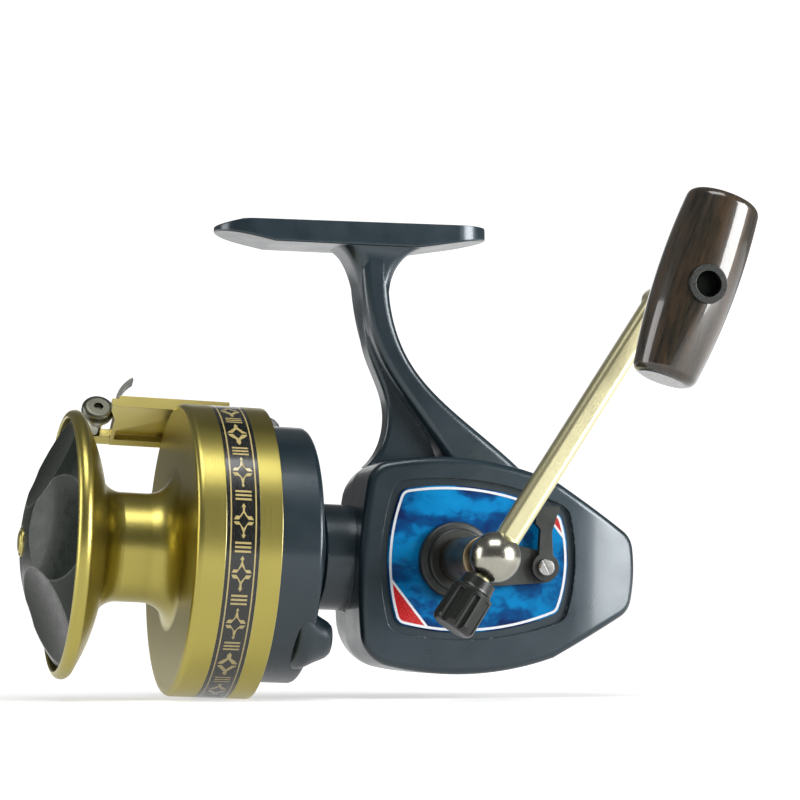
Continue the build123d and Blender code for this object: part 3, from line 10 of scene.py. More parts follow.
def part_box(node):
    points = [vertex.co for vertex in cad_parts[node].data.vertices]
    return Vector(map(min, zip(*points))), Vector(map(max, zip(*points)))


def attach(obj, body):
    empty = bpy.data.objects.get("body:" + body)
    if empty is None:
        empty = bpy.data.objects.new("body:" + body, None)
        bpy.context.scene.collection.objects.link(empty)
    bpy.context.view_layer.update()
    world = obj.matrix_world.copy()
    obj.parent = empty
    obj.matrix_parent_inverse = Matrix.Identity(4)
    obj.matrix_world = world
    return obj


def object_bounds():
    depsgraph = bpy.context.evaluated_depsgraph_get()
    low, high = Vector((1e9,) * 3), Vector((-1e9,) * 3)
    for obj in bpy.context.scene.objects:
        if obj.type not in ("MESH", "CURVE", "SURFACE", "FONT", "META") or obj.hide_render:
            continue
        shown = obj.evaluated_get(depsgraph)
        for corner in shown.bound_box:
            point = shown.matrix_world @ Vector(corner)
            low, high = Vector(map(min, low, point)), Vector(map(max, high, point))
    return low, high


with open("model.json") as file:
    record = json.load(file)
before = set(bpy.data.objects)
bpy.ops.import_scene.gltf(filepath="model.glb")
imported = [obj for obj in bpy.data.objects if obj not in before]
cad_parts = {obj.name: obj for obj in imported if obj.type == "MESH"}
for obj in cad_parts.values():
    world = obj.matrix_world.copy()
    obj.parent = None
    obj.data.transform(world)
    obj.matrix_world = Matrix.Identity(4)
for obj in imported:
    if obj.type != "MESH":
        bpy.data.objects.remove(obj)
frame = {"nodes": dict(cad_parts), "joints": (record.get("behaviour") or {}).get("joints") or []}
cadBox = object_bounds()
nodes = frame["nodes"]
joints = {joint["name"]: joint for joint in frame["joints"]}
millimetre = 0.001
noiseSpan = (0.3, 0.7)      # most of a noise texture's values lie in here
print("frame loaded,", len(nodes), "CAD nodes")


def axisOf(jointName):
    joint = joints[jointName]
    return Vector(joint["pos_m"]), Vector(joint["axis"]).normalized()


reelPoint, reelAxis = axisOf("spool_slip")      # runs from the rod tip to the tail
crankPoint, crankAxis = axisOf("crank_turn")    # runs towards the handle


# the steps that the finishes are built from
def newMaterial(name, settings):
    material = bpy.data.materials.new(name)
    material.use_nodes = True
    tree = material.node_tree
    shader = tree.nodes["Principled BSDF"]
    for socket, value in settings.items():
        shader.inputs[socket].default_value = value
    return material, tree, shader


def addNode(tree, kind, inputs=None, **settings):
    node = tree.nodes.new(kind)
    for name, value in settings.items():
        setattr(node, name, value)
    for socket, value in (inputs or {}).items():
        if isinstance(value, bpy.types.NodeSocket):
            tree.links.new(value, node.inputs[socket])
        else:
            node.inputs[socket].default_value = value
    return node


def mathStep(tree, operation, first, second=0.0, third=0.0, clamp=False):
    inputs = {0: first, 1: second, 2: third}
    return addNode(tree, "ShaderNodeMath", inputs, operation=operation, use_clamp=clamp).outputs[0]


def vectorStep(tree, operation, first, second=(0, 0, 0), third=(0, 0, 0), scale=1.0):
    inputs = {0: first, 1: second, 2: third, 3: scale}
    node = addNode(tree, "ShaderNodeVectorMath", inputs, operation=operation)
    return node.outputs["Value" if operation in ("DOT_PRODUCT", "LENGTH") else "Vector"]


def colourMix(tree, share, first, second):
    node = addNode(tree, "ShaderNodeMix", {0: share}, data_type="RGBA")
    for socket, value in ((6, first), (7, second)):
        if isinstance(value, bpy.types.NodeSocket):
            tree.links.new(value, node.inputs[socket])
        else:
            node.inputs[socket].default_value = (*value, 1)
    return node.outputs[2]


def stepRange(tree, value, low, high, toLow=0.0, toHigh=1.0):
    inputs = {0: value, 1: low, 2: high, 3: toLow, 4: toHigh}
    return addNode(tree, "ShaderNodeMapRange", inputs, clamp=True).outputs[0]


def colourRamp(tree, value, stops):
    node = addNode(tree, "ShaderNodeValToRGB", {0: value})
    ramp = node.color_ramp
    while len(ramp.elements) < len(stops):
        ramp.elements.new(0.5)
    for element, (place, colour) in zip(ramp.elements, stops):
        element.position = place
        element.color = (*colour, 1)
    return node.outputs[0]


def noiseNode(tree, coords, scale, detail, roughness=0.5):
    inputs = {"Vector": coords, "Scale": scale, "Detail": detail, "Roughness": roughness}
    return addNode(tree, "ShaderNodeTexNoise", inputs)


def grainNoise(tree, coords, perMillimetre, detail=3.0, roughness=0.55):
    return noiseNode(tree, coords, perMillimetre / millimetre, detail, roughness).outputs[0]


def stretchedNoise(tree, coords, perMetre, detail):
    return noiseNode(tree, vectorStep(tree, "MULTIPLY", coords, perMetre), 1.0, detail).outputs[0]


def restCoords(tree):
    return addNode(tree, "ShaderNodeTexCoord").outputs["Object"]


def ringNoise(tree, point, axis, perMillimetre):
    # lathe marks: the same all the way round, changing along the axis and out from it
    offset = vectorStep(tree, "SUBTRACT", restCoords(tree), point)
    along = vectorStep(tree, "DOT_PRODUCT", offset, axis)
    onAxis = vectorStep(tree, "SCALE", axis, scale=along)
    away = vectorStep(tree, "LENGTH", vectorStep(tree, "SUBTRACT", offset, onAxis))
    place = mathStep(tree, "MULTIPLY", mathStep(tree, "ADD", along, away), perMillimetre / millimetre)
    inputs = {"W": place, "Scale": 1.0, "Detail": 2.0}
    return addNode(tree, "ShaderNodeTexNoise", inputs, noise_dimensions="1D").outputs[0]


def roundedEdges(tree, radius):
    return addNode(tree, "ShaderNodeBevel", {"Radius": radius}, samples=6).outputs[0]


def edgeMask(tree, rounded, spread):
    # 1 on a sharp edge, falling to 0 on the flat
    plain = addNode(tree, "ShaderNodeNewGeometry").outputs["Normal"]
    turned = mathStep(tree, "SUBTRACT", 1.0, vectorStep(tree, "DOT_PRODUCT", rounded, plain))
    return mathStep(tree, "DIVIDE", turned, spread, clamp=True)


def feedShader(tree, shader, colour, roughness):
    tree.links.new(colour, shader.inputs["Base Color"])
    tree.links.new(roughness, shader.inputs["Roughness"])


def addBump(tree, shader, height, depth, normal=None):
    bump = addNode(tree, "ShaderNodeBump", {"Height": height, "Strength": 1.0, "Distance": depth})
    if normal is not None:
        tree.links.new(normal, bump.inputs["Normal"])
    tree.links.new(bump.outputs[0], shader.inputs["Normal"])


def paintNodes(material, *names):
    for name in names:
        slots = nodes[name].data.materials
        if not slots:
            slots.append(material)
        for index in range(len(slots)):
            slots[index] = material


# slate enamel over die-cast alloy, rubbed through on its edges
def slateEnamel():
    look = {
        "shader": {"Metallic": 0.3, "Roughness": 0.30, "Specular IOR Level": 0.7,
                   "Coat Weight": 0.25, "Coat Roughness": 0.12, "Coat IOR": 1.5},
        "pigment": (0.006, 0.017, 0.024),
        "paleFlake": (0.022, 0.048, 0.066),
        "bareAlloy": (0.42, 0.43, 0.44),
        "flakesPerMillimetre": 7.0,
        "flakeRange": (0.45, 0.72),
        "flakeShare": 0.35,
        "cloudsPerMillimetre": 0.05,
        "cloudShare": 0.35,
        "chipsPerMillimetre": 0.55,
        "chipRange": (0.60, 0.66),
        "edgeRadius": 0.35 * millimetre,
        "edgeSpread": 0.10,
        "dullPerMillimetre": 0.12,
        "roughness": (0.26, 0.36),
        "rubbedRoughness": 0.12,        # added where the alloy shows
        "peelPerMillimetre": 0.85,
        "peelDepth": 0.012 * millimetre,
    }
    material, tree, shader = newMaterial("slateEnamel", look["shader"])
    coords = restCoords(tree)
    flake = stepRange(tree, grainNoise(tree, coords, look["flakesPerMillimetre"], 1.0), *look["flakeRange"])
    cloud = grainNoise(tree, coords, look["cloudsPerMillimetre"])
    cloud = mathStep(tree, "MULTIPLY", cloud, look["cloudShare"])
    share = mathStep(tree, "MULTIPLY_ADD", flake, look["flakeShare"], cloud)
    enamelColour = colourMix(tree, share, look["pigment"], look["paleFlake"])

    rounded = roundedEdges(tree, look["edgeRadius"])
    chips = grainNoise(tree, coords, look["chipsPerMillimetre"], 4.0, 0.65)
    chips = stepRange(tree, chips, *look["chipRange"])
    rubbed = mathStep(tree, "MULTIPLY", edgeMask(tree, rounded, look["edgeSpread"]), chips, clamp=True)
    dull = grainNoise(tree, coords, look["dullPerMillimetre"], 4.0, 0.6)
    dull = stepRange(tree, dull, *noiseSpan, *look["roughness"])
    feedShader(tree, shader, colourMix(tree, rubbed, enamelColour, look["bareAlloy"]),
               mathStep(tree, "MULTIPLY_ADD", rubbed, look["rubbedRoughness"], dull))
    addBump(tree, shader, grainNoise(tree, coords, look["peelPerMillimetre"], 2.0), look["peelDepth"], rounded)
    return material


enamel = slateEnamel()
paintNodes(enamel, "housing", "side_cover", "rotor")


# bead-blasted anodised aluminium, with lathe rings where it was turned
golds = {
    "spoolGold": {"gold": (0.45, 0.385, 0.105), "turnedAbout": "spool_slip", "rings": 0.5,
                  "on": ("spool", "button_collar", "release_button")},
    "castGold": {"gold": (0.58, 0.49, 0.16), "turnedAbout": "spool_slip", "rings": 0.0, "on": ("pickup_arm",)},
    "paleGold": {"gold": (0.78, 0.73, 0.44), "turnedAbout": "crank_turn", "rings": 0.0, "on": ("handle_arm",)},
}


def satinGold(name, gold, turnedAbout, ringHeight):
    look = {
        "shader": {"Metallic": 1.0, "Roughness": 0.32},
        "deepGold": tuple(channel * 0.78 for channel in gold),
        "worn": tuple(0.5 * channel + 0.45 for channel in gold),
        "blastPerMillimetre": 5.5,
        "blastShare": 0.5,
        "blastDepth": 0.010 * millimetre,
        "cloudsPerMillimetre": 0.08,
        "cloudShare": 0.45,
        "ringsPerMillimetre": 3.2,
        "ringRoughness": 0.4,
        "blastRoughness": 0.6,
        "roughness": (0.27, 0.38),
        "edgeRadius": 0.25 * millimetre,
        "edgeSpread": 0.12,
        "edgeWear": 0.55,
        "rubbedRoughness": -0.12,       # a rubbed edge is the smoother
    }
    material, tree, shader = newMaterial(name, look["shader"])
    coords = restCoords(tree)
    blast = grainNoise(tree, coords, look["blastPerMillimetre"], 2.0)
    rings = ringNoise(tree, *axisOf(turnedAbout), look["ringsPerMillimetre"])
    cloud = grainNoise(tree, coords, look["cloudsPerMillimetre"])
    cloud = mathStep(tree, "MULTIPLY", cloud, look["cloudShare"])
    share = mathStep(tree, "MULTIPLY_ADD", blast, look["blastShare"], cloud)
    body = colourMix(tree, share, look["deepGold"], gold)

    rounded = roundedEdges(tree, look["edgeRadius"])
    edges = edgeMask(tree, rounded, look["edgeSpread"])
    rubbed = mathStep(tree, "MULTIPLY", edges, look["edgeWear"], clamp=True)
    satin = mathStep(tree, "MULTIPLY_ADD", rings, look["ringRoughness"],
                     mathStep(tree, "MULTIPLY", blast, look["blastRoughness"]))
    satin = stepRange(tree, satin, *noiseSpan, *look["roughness"])
    feedShader(tree, shader, colourMix(tree, rubbed, body, look["worn"]),
               mathStep(tree, "MULTIPLY_ADD", rubbed, look["rubbedRoughness"], satin))
    addBump(tree, shader, mathStep(tree, "MULTIPLY_ADD", rings, ringHeight, blast), look["blastDepth"], rounded)
    return material


for name, finish in golds.items():
    paintNodes(satinGold(name, finish["gold"], finish["turnedAbout"], finish["rings"]), *finish["on"])


# bare metals; those with an axis carry lathe marks about it, the others a fine grain
metals = {
    "turnedSteel": {"pale": (0.56, 0.56, 0.56), "dark": (0.36, 0.36, 0.36), "roughness": 0.28,
                    "turnedAbout": "spool_slip",
                    "on": ("neck_bearing_outer", "neck_bearing_inner", "neck_bearing_balls", "bearing_retainer",
                           "guide_rail", "main_shaft", "rotor_nut", "drag_discs_steel", "drag_spring",
                           "block_screw", "click_leaf", "pickup_pin")},
    "crankSteel": {"pale": (0.56, 0.56, 0.56), "dark": (0.36, 0.36, 0.36), "roughness": 0.28,
                   "turnedAbout": "crank_turn",
                   "on": ("drive_shaft", "ratchet_wheel", "pawl_pin", "cover_screws", "anti_reverse_pawl")},
    "leverSteel": {"pale": (0.60, 0.60, 0.58), "dark": (0.36, 0.36, 0.35), "roughness": 0.25,
                   "turnedAbout": "reverse_lever_turn", "on": ("lever_screw",)},
    "fingerSteel": {"pale": (0.10, 0.10, 0.09), "dark": (0.05, 0.05, 0.045), "roughness": 0.36,
                    "on": ("pickup_finger",)},
    "capSteel": {"pale": (0.145, 0.145, 0.115), "dark": (0.08, 0.08, 0.065), "roughness": 0.36,
                 "turnedAbout": "roller_spin", "on": ("roller_screw",)},
    "satinNickel": {"pale": (0.42, 0.41, 0.35), "dark": (0.33, 0.32, 0.27), "roughness": 0.25,
                    "on": ("crank_ball", "line_roller")},
    "sootedSteel": {"pale": (0.050, 0.053, 0.050), "dark": (0.022, 0.024, 0.022), "roughness": 0.38,
                    "turnedAbout": "crank_turn", "metallic": 0.6,
                    "on": ("bearing_flange", "anti_reverse_lever", "lever_cam")},
    "agedBronze": {"pale": (0.30, 0.24, 0.15), "dark": (0.10, 0.08, 0.05), "roughness": 0.36,
                   "turnedAbout": "crank_turn", "on": ("shaft_sleeve", "crank_washer")},
    "gearAlloy": {"pale": (0.46, 0.46, 0.46), "dark": (0.28, 0.28, 0.28), "roughness": 0.45, "grain": 1.5,
                  "on": ("drive_gear", "crosswind_block")},
    "gearBrass": {"pale": (0.72, 0.56, 0.24), "dark": (0.48, 0.36, 0.14), "roughness": 0.30,
                  "turnedAbout": "spool_slip", "on": ("pinion",)},
}


def workedMetal(name, finish):
    look = {
        "mottlePerMillimetre": 0.12,
        "mottleRange": (0.35, 0.65, 0.0, 0.65),     # from, to
        "marksPerMillimetre": 4.0,
        "ringsPerMillimetre": 6.0,
        "markShare": 0.35,
        "markDepth": 0.006 * millimetre,
        "roughnessFrom": (0.7, 1.3),                # mottle and marks together
        "roughnessShare": (0.75, 1.3),
        "edgeRadius": 0.15 * millimetre,
    }
    grain, roughness = finish.get("grain", 1.0), finish["roughness"]
    settings = {"Metallic": finish.get("metallic", 1.0), "Roughness": roughness}
    material, tree, shader = newMaterial(name, settings)
    coords = restCoords(tree)
    mottle = grainNoise(tree, coords, grain * look["mottlePerMillimetre"], 4.0, 0.6)
    if "turnedAbout" in finish:
        marks = ringNoise(tree, *axisOf(finish["turnedAbout"]), grain * look["ringsPerMillimetre"])
    else:
        marks = grainNoise(tree, coords, grain * look["marksPerMillimetre"], 2.0)
    mottled = stepRange(tree, mottle, *look["mottleRange"])
    share = mathStep(tree, "MULTIPLY_ADD", marks, look["markShare"], mottled)
    span = [roughness * part for part in look["roughnessShare"]]
    feedShader(tree, shader, colourMix(tree, share, finish["dark"], finish["pale"]),
               stepRange(tree, mathStep(tree, "ADD", mottle, marks), *look["roughnessFrom"], *span))
    addBump(tree, shader, marks, look["markDepth"], roundedEdges(tree, look["edgeRadius"]))
    return material


for name, finish in metals.items():
    paintNodes(workedMetal(name, finish), *finish["on"])


# plastics
def polishedDome():
    look = {
        "shader": {"Roughness": 0.26, "Specular IOR Level": 0.2, "Coat Weight": 0.07, "Coat Roughness": 0.08},
        "body": (0.008, 0.013, 0.008),
        # pale grey painted on the ridges between the lobes: a painted highlight
        "ridge": (0.20, 0.22, 0.19),
        "ridgeWidth": 0.8 * millimetre,
        "edgeSpread": 0.05,
        "hazePerMillimetre": 0.4,
        "ridgeHighlightRange": (0.3, 0.6, 0.35, 1.0),            # from, to
        "roughnessRange": (0.35, 0.75, 0.24, 0.38),     # from, to
        "wavesPerMillimetre": 0.6,
        "waveDepth": 0.003 * millimetre,
    }
    material, tree, shader = newMaterial("polishedDome", look["shader"])
    coords = restCoords(tree)
    rounded = roundedEdges(tree, look["ridgeWidth"])
    haze = grainNoise(tree, coords, look["hazePerMillimetre"], 4.0, 0.65)
    # painted highlight: the ridges turn pale grey, patchy with the haze noise
    paintedRidgeHighlight = mathStep(tree, "MULTIPLY", edgeMask(tree, rounded, look["edgeSpread"]),
                       stepRange(tree, haze, *look["ridgeHighlightRange"]), clamp=True)
    feedShader(tree, shader, colourMix(tree, paintedRidgeHighlight, look["body"], look["ridge"]),
               stepRange(tree, haze, *look["roughnessRange"]))
    addBump(tree, shader, grainNoise(tree, coords, look["wavesPerMillimetre"], 2.0), look["waveDepth"], rounded)
    return material


mouldings = {
    "blackNylon": {"body": (0.007, 0.009, 0.007), "roughness": 0.32, "specular": 0.5,
                   "on": ("lock_nut", "knob_bushing", "click_gear")},
    # painted shade: the spindle's end deep in the knob's bushing is near-black and matte
    "holeShadeBlack": {"body": (0.003, 0.004, 0.003), "roughness": 0.7, "specular": 0.05, "on": ("knob_spindle",)},
}


def mouldedBlack(name, finish):
    look = {
        "edgeRadius": 0.2 * millimetre,
        "edgeSpread": 0.15,
        "grainPerMillimetre": 3.0,
        "grainDepth": 0.012 * millimetre,
        "roughnessShare": (0.8, 1.2),
    }
    roughness = finish["roughness"]
    settings = {"Roughness": roughness, "Specular IOR Level": finish["specular"]}
    material, tree, shader = newMaterial(name, settings)
    rounded = roundedEdges(tree, look["edgeRadius"])
    grain = grainNoise(tree, restCoords(tree), look["grainPerMillimetre"])
    worn = mathStep(tree, "MULTIPLY", edgeMask(tree, rounded, look["edgeSpread"]), grain, clamp=True)
    pale = tuple(channel * 4 + 0.05 for channel in finish["body"])
    span = [roughness * part for part in look["roughnessShare"]]
    feedShader(tree, shader, colourMix(tree, worn, finish["body"], pale),
               stepRange(tree, grain, *noiseSpan, *span))
    addBump(tree, shader, grain, look["grainDepth"], rounded)
    return material


paintNodes(polishedDome(), "drag_knob")
for name, finish in mouldings.items():
    paintNodes(mouldedBlack(name, finish), *finish["on"])


# lacquers
def bandLacquer():
    look = {
        "shader": {"Roughness": 0.22, "Coat Weight": 0.4, "Coat Roughness": 0.1},
        "black": (0.006, 0.007, 0.006),
        "scuff": (0.035, 0.038, 0.033),
        "scratchesPerMetre": (6000, 700, 700),
        "ridgeHighlightRange": (0.62, 0.75),
        "roughness": (0.16, 0.34),
        "scratchDepth": 0.002 * millimetre,
    }
    material, tree, shader = newMaterial("bandLacquer", look["shader"])
    scratch = stretchedNoise(tree, restCoords(tree), look["scratchesPerMetre"], 3.0)
    scuffs = stepRange(tree, scratch, *look["ridgeHighlightRange"])
    feedShader(tree, shader, colourMix(tree, scuffs, look["black"], look["scuff"]),
               stepRange(tree, scratch, *noiseSpan, *look["roughness"]))
    addBump(tree, shader, scratch, look["scratchDepth"])
    return material


def emblemLacquer():
    look = {
        "shader": {"Roughness": 0.3, "Specular IOR Level": 0.12, "Coat Weight": 0.1, "Coat Roughness": 0.06},
        "stops": [
            (0.37, (0.004, 0.020, 0.095)),      # night blue
            (0.47, (0.001, 0.060, 0.20)),       # deep blue
            (0.56, (0.0002, 0.175, 0.43)),      # sky blue
            (0.70, (0.0004, 0.22, 0.50)),       # pale blue
        ],
        "driftScale": 160.0,
        "driftReach": (0.006, 0.006, 0.006),
        "patchScale": 70.0,
        "patchStretch": (1.0, 1.0, 1.5),
        "roughness": (0.2, 0.34),
        "wavesPerMillimetre": 1.2,
        "waveDepth": 0.003 * millimetre,
        "edgeRadius": 0.2 * millimetre,
    }
    material, tree, shader = newMaterial("emblemLacquer", look["shader"])
    coords = restCoords(tree)
    drift = noiseNode(tree, coords, look["driftScale"], 2.0).outputs[1]
    bent = vectorStep(tree, "MULTIPLY_ADD", drift, look["driftReach"], coords)
    stretched = vectorStep(tree, "MULTIPLY", bent, look["patchStretch"])
    patches = noiseNode(tree, stretched, look["patchScale"], 4.0, 0.55).outputs[0]
    feedShader(tree, shader, colourRamp(tree, patches, look["stops"]),
               stepRange(tree, patches, *noiseSpan, *look["roughness"]))
    waves = grainNoise(tree, coords, look["wavesPerMillimetre"], 2.0)
    addBump(tree, shader, waves, look["waveDepth"], roundedEdges(tree, look["edgeRadius"]))
    return material


paintNodes(bandLacquer(), "skirt_label")
paintNodes(emblemLacquer(), "emblem_plate")


def longestDirection(node):
    points = np.array([vertex.co for vertex in nodes[node].data.vertices])
    middle = (points.min(0) + points.max(0)) / 2
    directions = np.linalg.eigh(np.cov((points - points.mean(0)).T))[1]
    direction = Vector(directions[:, -1])
    return Vector(middle), direction if direction.z > 0 else -direction


# dark stained and lacquered, with its grain along the knob
def stainedWood():
    look = {
        "shader": {"Roughness": 0.36, "Specular IOR Level": 0.3, "Coat Weight": 1.0, "Coat Roughness": 0.06},
        "heart": (0.024, 0.018, 0.010),
        "streak": (0.052, 0.029, 0.013),
        "pore": (0.010, 0.008, 0.005),
        "streakWidth": 1.6 * millimetre,
        "streakStretch": (0.07, 1.0, 1.0),
        "wanderPerMetre": (60, 160, 160),
        "wanderReach": 3.0 * millimetre,
        "poresPerMetre": (380, 5200, 5200),
        "poreRange": (0.60, 0.70),
        "roughness": (0.24, 0.4),
        "poreDepth": 0.010 * millimetre,
        "edgeRadius": 0.6 * millimetre,
    }
    material, tree, shader = newMaterial("stainedWood", look["shader"])
    middle, grain = longestDirection("handle_knob")
    side = grain.cross(axisOf("knob_spin")[1]).normalized()
    turn = Matrix((grain, side, grain.cross(side))).transposed().to_euler()
    inputs = {"Vector": restCoords(tree), "Location": middle, "Rotation": turn}
    turned = addNode(tree, "ShaderNodeMapping", inputs, vector_type="TEXTURE").outputs[0]

    wander = stretchedNoise(tree, turned, look["wanderPerMetre"], 2.0)
    wander = mathStep(tree, "MULTIPLY", wander, look["wanderReach"])
    sideways = vectorStep(tree, "SCALE", (0, 1, 1), scale=wander)
    stretched = vectorStep(tree, "MULTIPLY", turned, look["streakStretch"])
    shifted = vectorStep(tree, "ADD", stretched, sideways)
    streaks = noiseNode(tree, shifted, 1 / look["streakWidth"], 5.0, 0.6).outputs[0]
    pores = stretchedNoise(tree, turned, look["poresPerMetre"], 2.0)
    openPores = stepRange(tree, pores, *look["poreRange"])
    colour = colourRamp(tree, streaks, [
        (0.34, look["pore"]), (0.47, look["heart"]), (0.62, look["streak"]), (0.75, look["heart"])])
    feedShader(tree, shader, colourMix(tree, openPores, colour, look["pore"]),
               stepRange(tree, streaks, *noiseSpan, *look["roughness"]))
    height = mathStep(tree, "SUBTRACT", streaks, openPores)
    addBump(tree, shader, height, look["poreDepth"], roundedEdges(tree, look["edgeRadius"]))
    return material


def dragFibre():
    look = {
        "stops": [(0.35, (0.16, 0.10, 0.055)), (0.65, (0.42, 0.29, 0.17))],
        "strandsPerMillimetre": 1.4,
        "strandDepth": 0.03 * millimetre,
    }
    material, tree, shader = newMaterial("dragFibre", {"Roughness": 0.8})
    strands = grainNoise(tree, restCoords(tree), look["strandsPerMillimetre"], 5.0, 0.7)
    tree.links.new(colourRamp(tree, strands, look["stops"]), shader.inputs["Base Color"])
    addBump(tree, shader, strands, look["strandDepth"])
    return material


paintNodes(stainedWood(), "handle_knob")
paintNodes(dragFibre(), "drag_discs_fibre")
print("finishes set")


def flatEnamel(name, colour):
    look = {
        "shader": {"Roughness": 0.25, "Coat Weight": 0.8, "Coat Roughness": 0.05},
        "speckPerMillimetre": 2.0,
        "speckDepth": 0.003 * millimetre,
        "roughness": (0.2, 0.32),
    }
    material, tree, shader = newMaterial(name, look["shader"])
    speck = grainNoise(tree, restCoords(tree), look["speckPerMillimetre"])
    darker = tuple(channel * 0.8 for channel in colour)
    feedShader(tree, shader, colourMix(tree, speck, darker, colour),
               stepRange(tree, speck, *noiseSpan, *look["roughness"]))
    addBump(tree, shader, speck, look["speckDepth"])
    return material


def makePiece(name, mesh, material, body):
    data = bpy.data.meshes.new(name)
    mesh.to_mesh(data)
    mesh.free()
    data.materials.append(material)
    piece = bpy.data.objects.new(name, data)
    bpy.context.scene.collection.objects.link(piece)
    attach(piece, body)
    return piece


# a white keyline around the emblem, and two striped corners
def emblemInlays():
    look = {
        "white": (0.78, 0.80, 0.82),
        "red": (0.50, 0.008, 0.010),
        "keylineInset": 0.12 * millimetre,
        "keyline": 0.62 * millimetre,
        "lift": 0.01 * millimetre,          # underside above the plate
        "proud": 0.05 * millimetre,
        "wedgeReach": 8.5 * millimetre,
        "wedgeStripe": 0.6 * millimetre,
    }
    weld, levelSlack, facing = 0.001 * millimetre, 0.1 * millimetre, 0.99
    outward = crankAxis
    low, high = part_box("emblem_plate")
    middle = (low + high) / 2
    white = flatEnamel("inlayWhite", look["white"])
    red = flatEnamel("inlayRed", look["red"])

    def isFront(face, level):
        height = face.calc_center_median().dot(outward)
        return face.normal.dot(outward) >= facing and abs(height - level) <= levelSlack

    def frontFace():
        # the plate's outer face as one face, ready to be inset
        mesh = bmesh.new()
        mesh.from_mesh(nodes["emblem_plate"].data)
        bmesh.ops.remove_doubles(mesh, verts=mesh.verts, dist=weld)
        level = max(vertex.co.dot(outward) for vertex in mesh.verts)
        others = [face for face in mesh.faces if not isFront(face, level)]
        bmesh.ops.delete(mesh, geom=others, context="FACES")
        bmesh.ops.dissolve_faces(mesh, faces=mesh.faces[:])
        return mesh

    def insetBorder(mesh, thickness):
        # insets the faces and gives back those of the border
        return bmesh.ops.inset_region(mesh, faces=mesh.faces[:], thickness=thickness,
                                      use_boundary=True, use_even_offset=True)["faces"]

    def raiseFaces(mesh):
        bmesh.ops.translate(mesh, verts=mesh.verts, vec=outward * look["lift"])
        top = bmesh.ops.extrude_face_region(mesh, geom=mesh.faces[:])["geom"]
        moved = [item for item in top if isinstance(item, bmesh.types.BMVert)]
        bmesh.ops.translate(mesh, verts=moved, vec=outward * look["proud"])
        bmesh.ops.recalc_face_normals(mesh, faces=mesh.faces[:])

    line = frontFace()
    bmesh.ops.delete(line, geom=insetBorder(line, look["keylineInset"]), context="FACES")
    border = set(insetBorder(line, look["keyline"]))
    bmesh.ops.delete(line, geom=[face for face in line.faces if face not in border], context="FACES")
    raiseFaces(line)
    makePiece("emblemKeyline", line, white, "frame")

    inner = look["keylineInset"] + look["keyline"]
    wedgeEnd = look["wedgeReach"]
    fields = (("Wedge", red, 0.0, wedgeEnd), ("Stripe", white, wedgeEnd, wedgeEnd + look["wedgeStripe"]))
    corners = {
        "UpperRear": Vector((high.x, middle.y, high.z)),
        "LowerFront": Vector((low.x, middle.y, low.z)),
    }
    for name, corner in corners.items():
        inwards = Vector((middle.x - corner.x, 0, middle.z - corner.z)).normalized()
        for part, material, start, end in fields:
            mesh = frontFace()
            bmesh.ops.delete(mesh, geom=insetBorder(mesh, inner), context="FACES")
            for distance, normal in ((start, -inwards), (end, inwards)):
                if distance == 0.0:
                    continue
                bmesh.ops.bisect_plane(mesh, geom=mesh.verts[:] + mesh.edges[:] + mesh.faces[:],
                                       plane_co=corner + inwards * distance, plane_no=normal, clear_outer=True)
            raiseFaces(mesh)
            makePiece("emblem" + part + name, mesh, material, "frame")


def turnedExtent(node, point, axis):
    offsets = [vertex.co - point for vertex in nodes[node].data.vertices]
    along = [offset.dot(axis) for offset in offsets]
    away = [(offset - axis * offset.dot(axis)).length for offset in offsets]
    return min(along), max(along), max(away)


# gilt pinstripes, lozenges and bars around the spool's black band
def bandTrim():
    look = {
        "gilt": (0.50, 0.40, 0.16),
        "proud": 0.03 * millimetre,
        "pinstripe": 0.35 * millimetre,
        "stripeInset": 0.75 * millimetre,
        "stripeSteps": 180,
        "lozenges": 18,
        "lozengeHeight": 0.62,      # share of the band
        "barHeight": 0.50,
        # half a lozenge with an open slit down its middle: shares of the pitch and of the height
        "halfLozenge": [(0.02, 0.5), (0.34, 0.0), (0.02, -0.5), (0.02, -0.24), (0.15, 0.0), (0.02, 0.24)],
        "bars": (0.42, 0.50, 0.58),     # shares of the pitch
        "halfBar": 0.020,
    }
    start, end, radius = turnedExtent("skirt_label", reelPoint, reelAxis)
    up = Vector((0, 0, 1)) - reelAxis * reelAxis.z
    up.normalize()
    sideways = reelAxis.cross(up)
    outer = radius + look["proud"]
    gilt = flatEnamel("bandGilt", look["gilt"])

    def place(mesh, along, angle):
        spoke = up * math.cos(angle) + sideways * math.sin(angle)
        return mesh.verts.new(reelPoint + reelAxis * along + spoke * outer)

    stripes = bmesh.new()
    steps = look["stripeSteps"]
    for edge, side in ((start + look["stripeInset"], 1), (end - look["stripeInset"], -1)):
        near, far = [[place(stripes, edge + offset, math.tau * step / steps) for step in range(steps)]
                     for offset in (0.0, side * look["pinstripe"])]
        for step in range(steps):
            following = (step + 1) % steps
            stripes.faces.new((near[step], near[following], far[following], far[step]))
    bmesh.ops.recalc_face_normals(stripes, faces=stripes.faces[:])
    makePiece("bandPinstripes", stripes, gilt, "spool")

    marks = bmesh.new()
    width = end - start
    middle = (start + end) / 2
    pitch = math.tau / look["lozenges"]
    lozengeHeight, barHeight = width * look["lozengeHeight"], width * look["barHeight"]
    for index in range(look["lozenges"]):
        centre = index * pitch
        for sign in (-1, 1):
            ring = [place(marks, middle + across * lozengeHeight, centre + sign * angle * pitch)
                    for angle, across in look["halfLozenge"]]
            marks.faces.new(ring if sign > 0 else ring[::-1])
        for bar in look["bars"]:
            left, right = bar - look["halfBar"], bar + look["halfBar"]
            corners = ((left, -0.5), (right, -0.5), (right, 0.5), (left, 0.5))
            marks.faces.new([place(marks, middle + across * barHeight, centre + angle * pitch)
                             for angle, across in corners])
    bmesh.ops.triangulate(marks, faces=marks.faces[:])
    bmesh.ops.recalc_face_normals(marks, faces=marks.faces[:])
    makePiece("bandOrnament", marks, gilt, "spool")


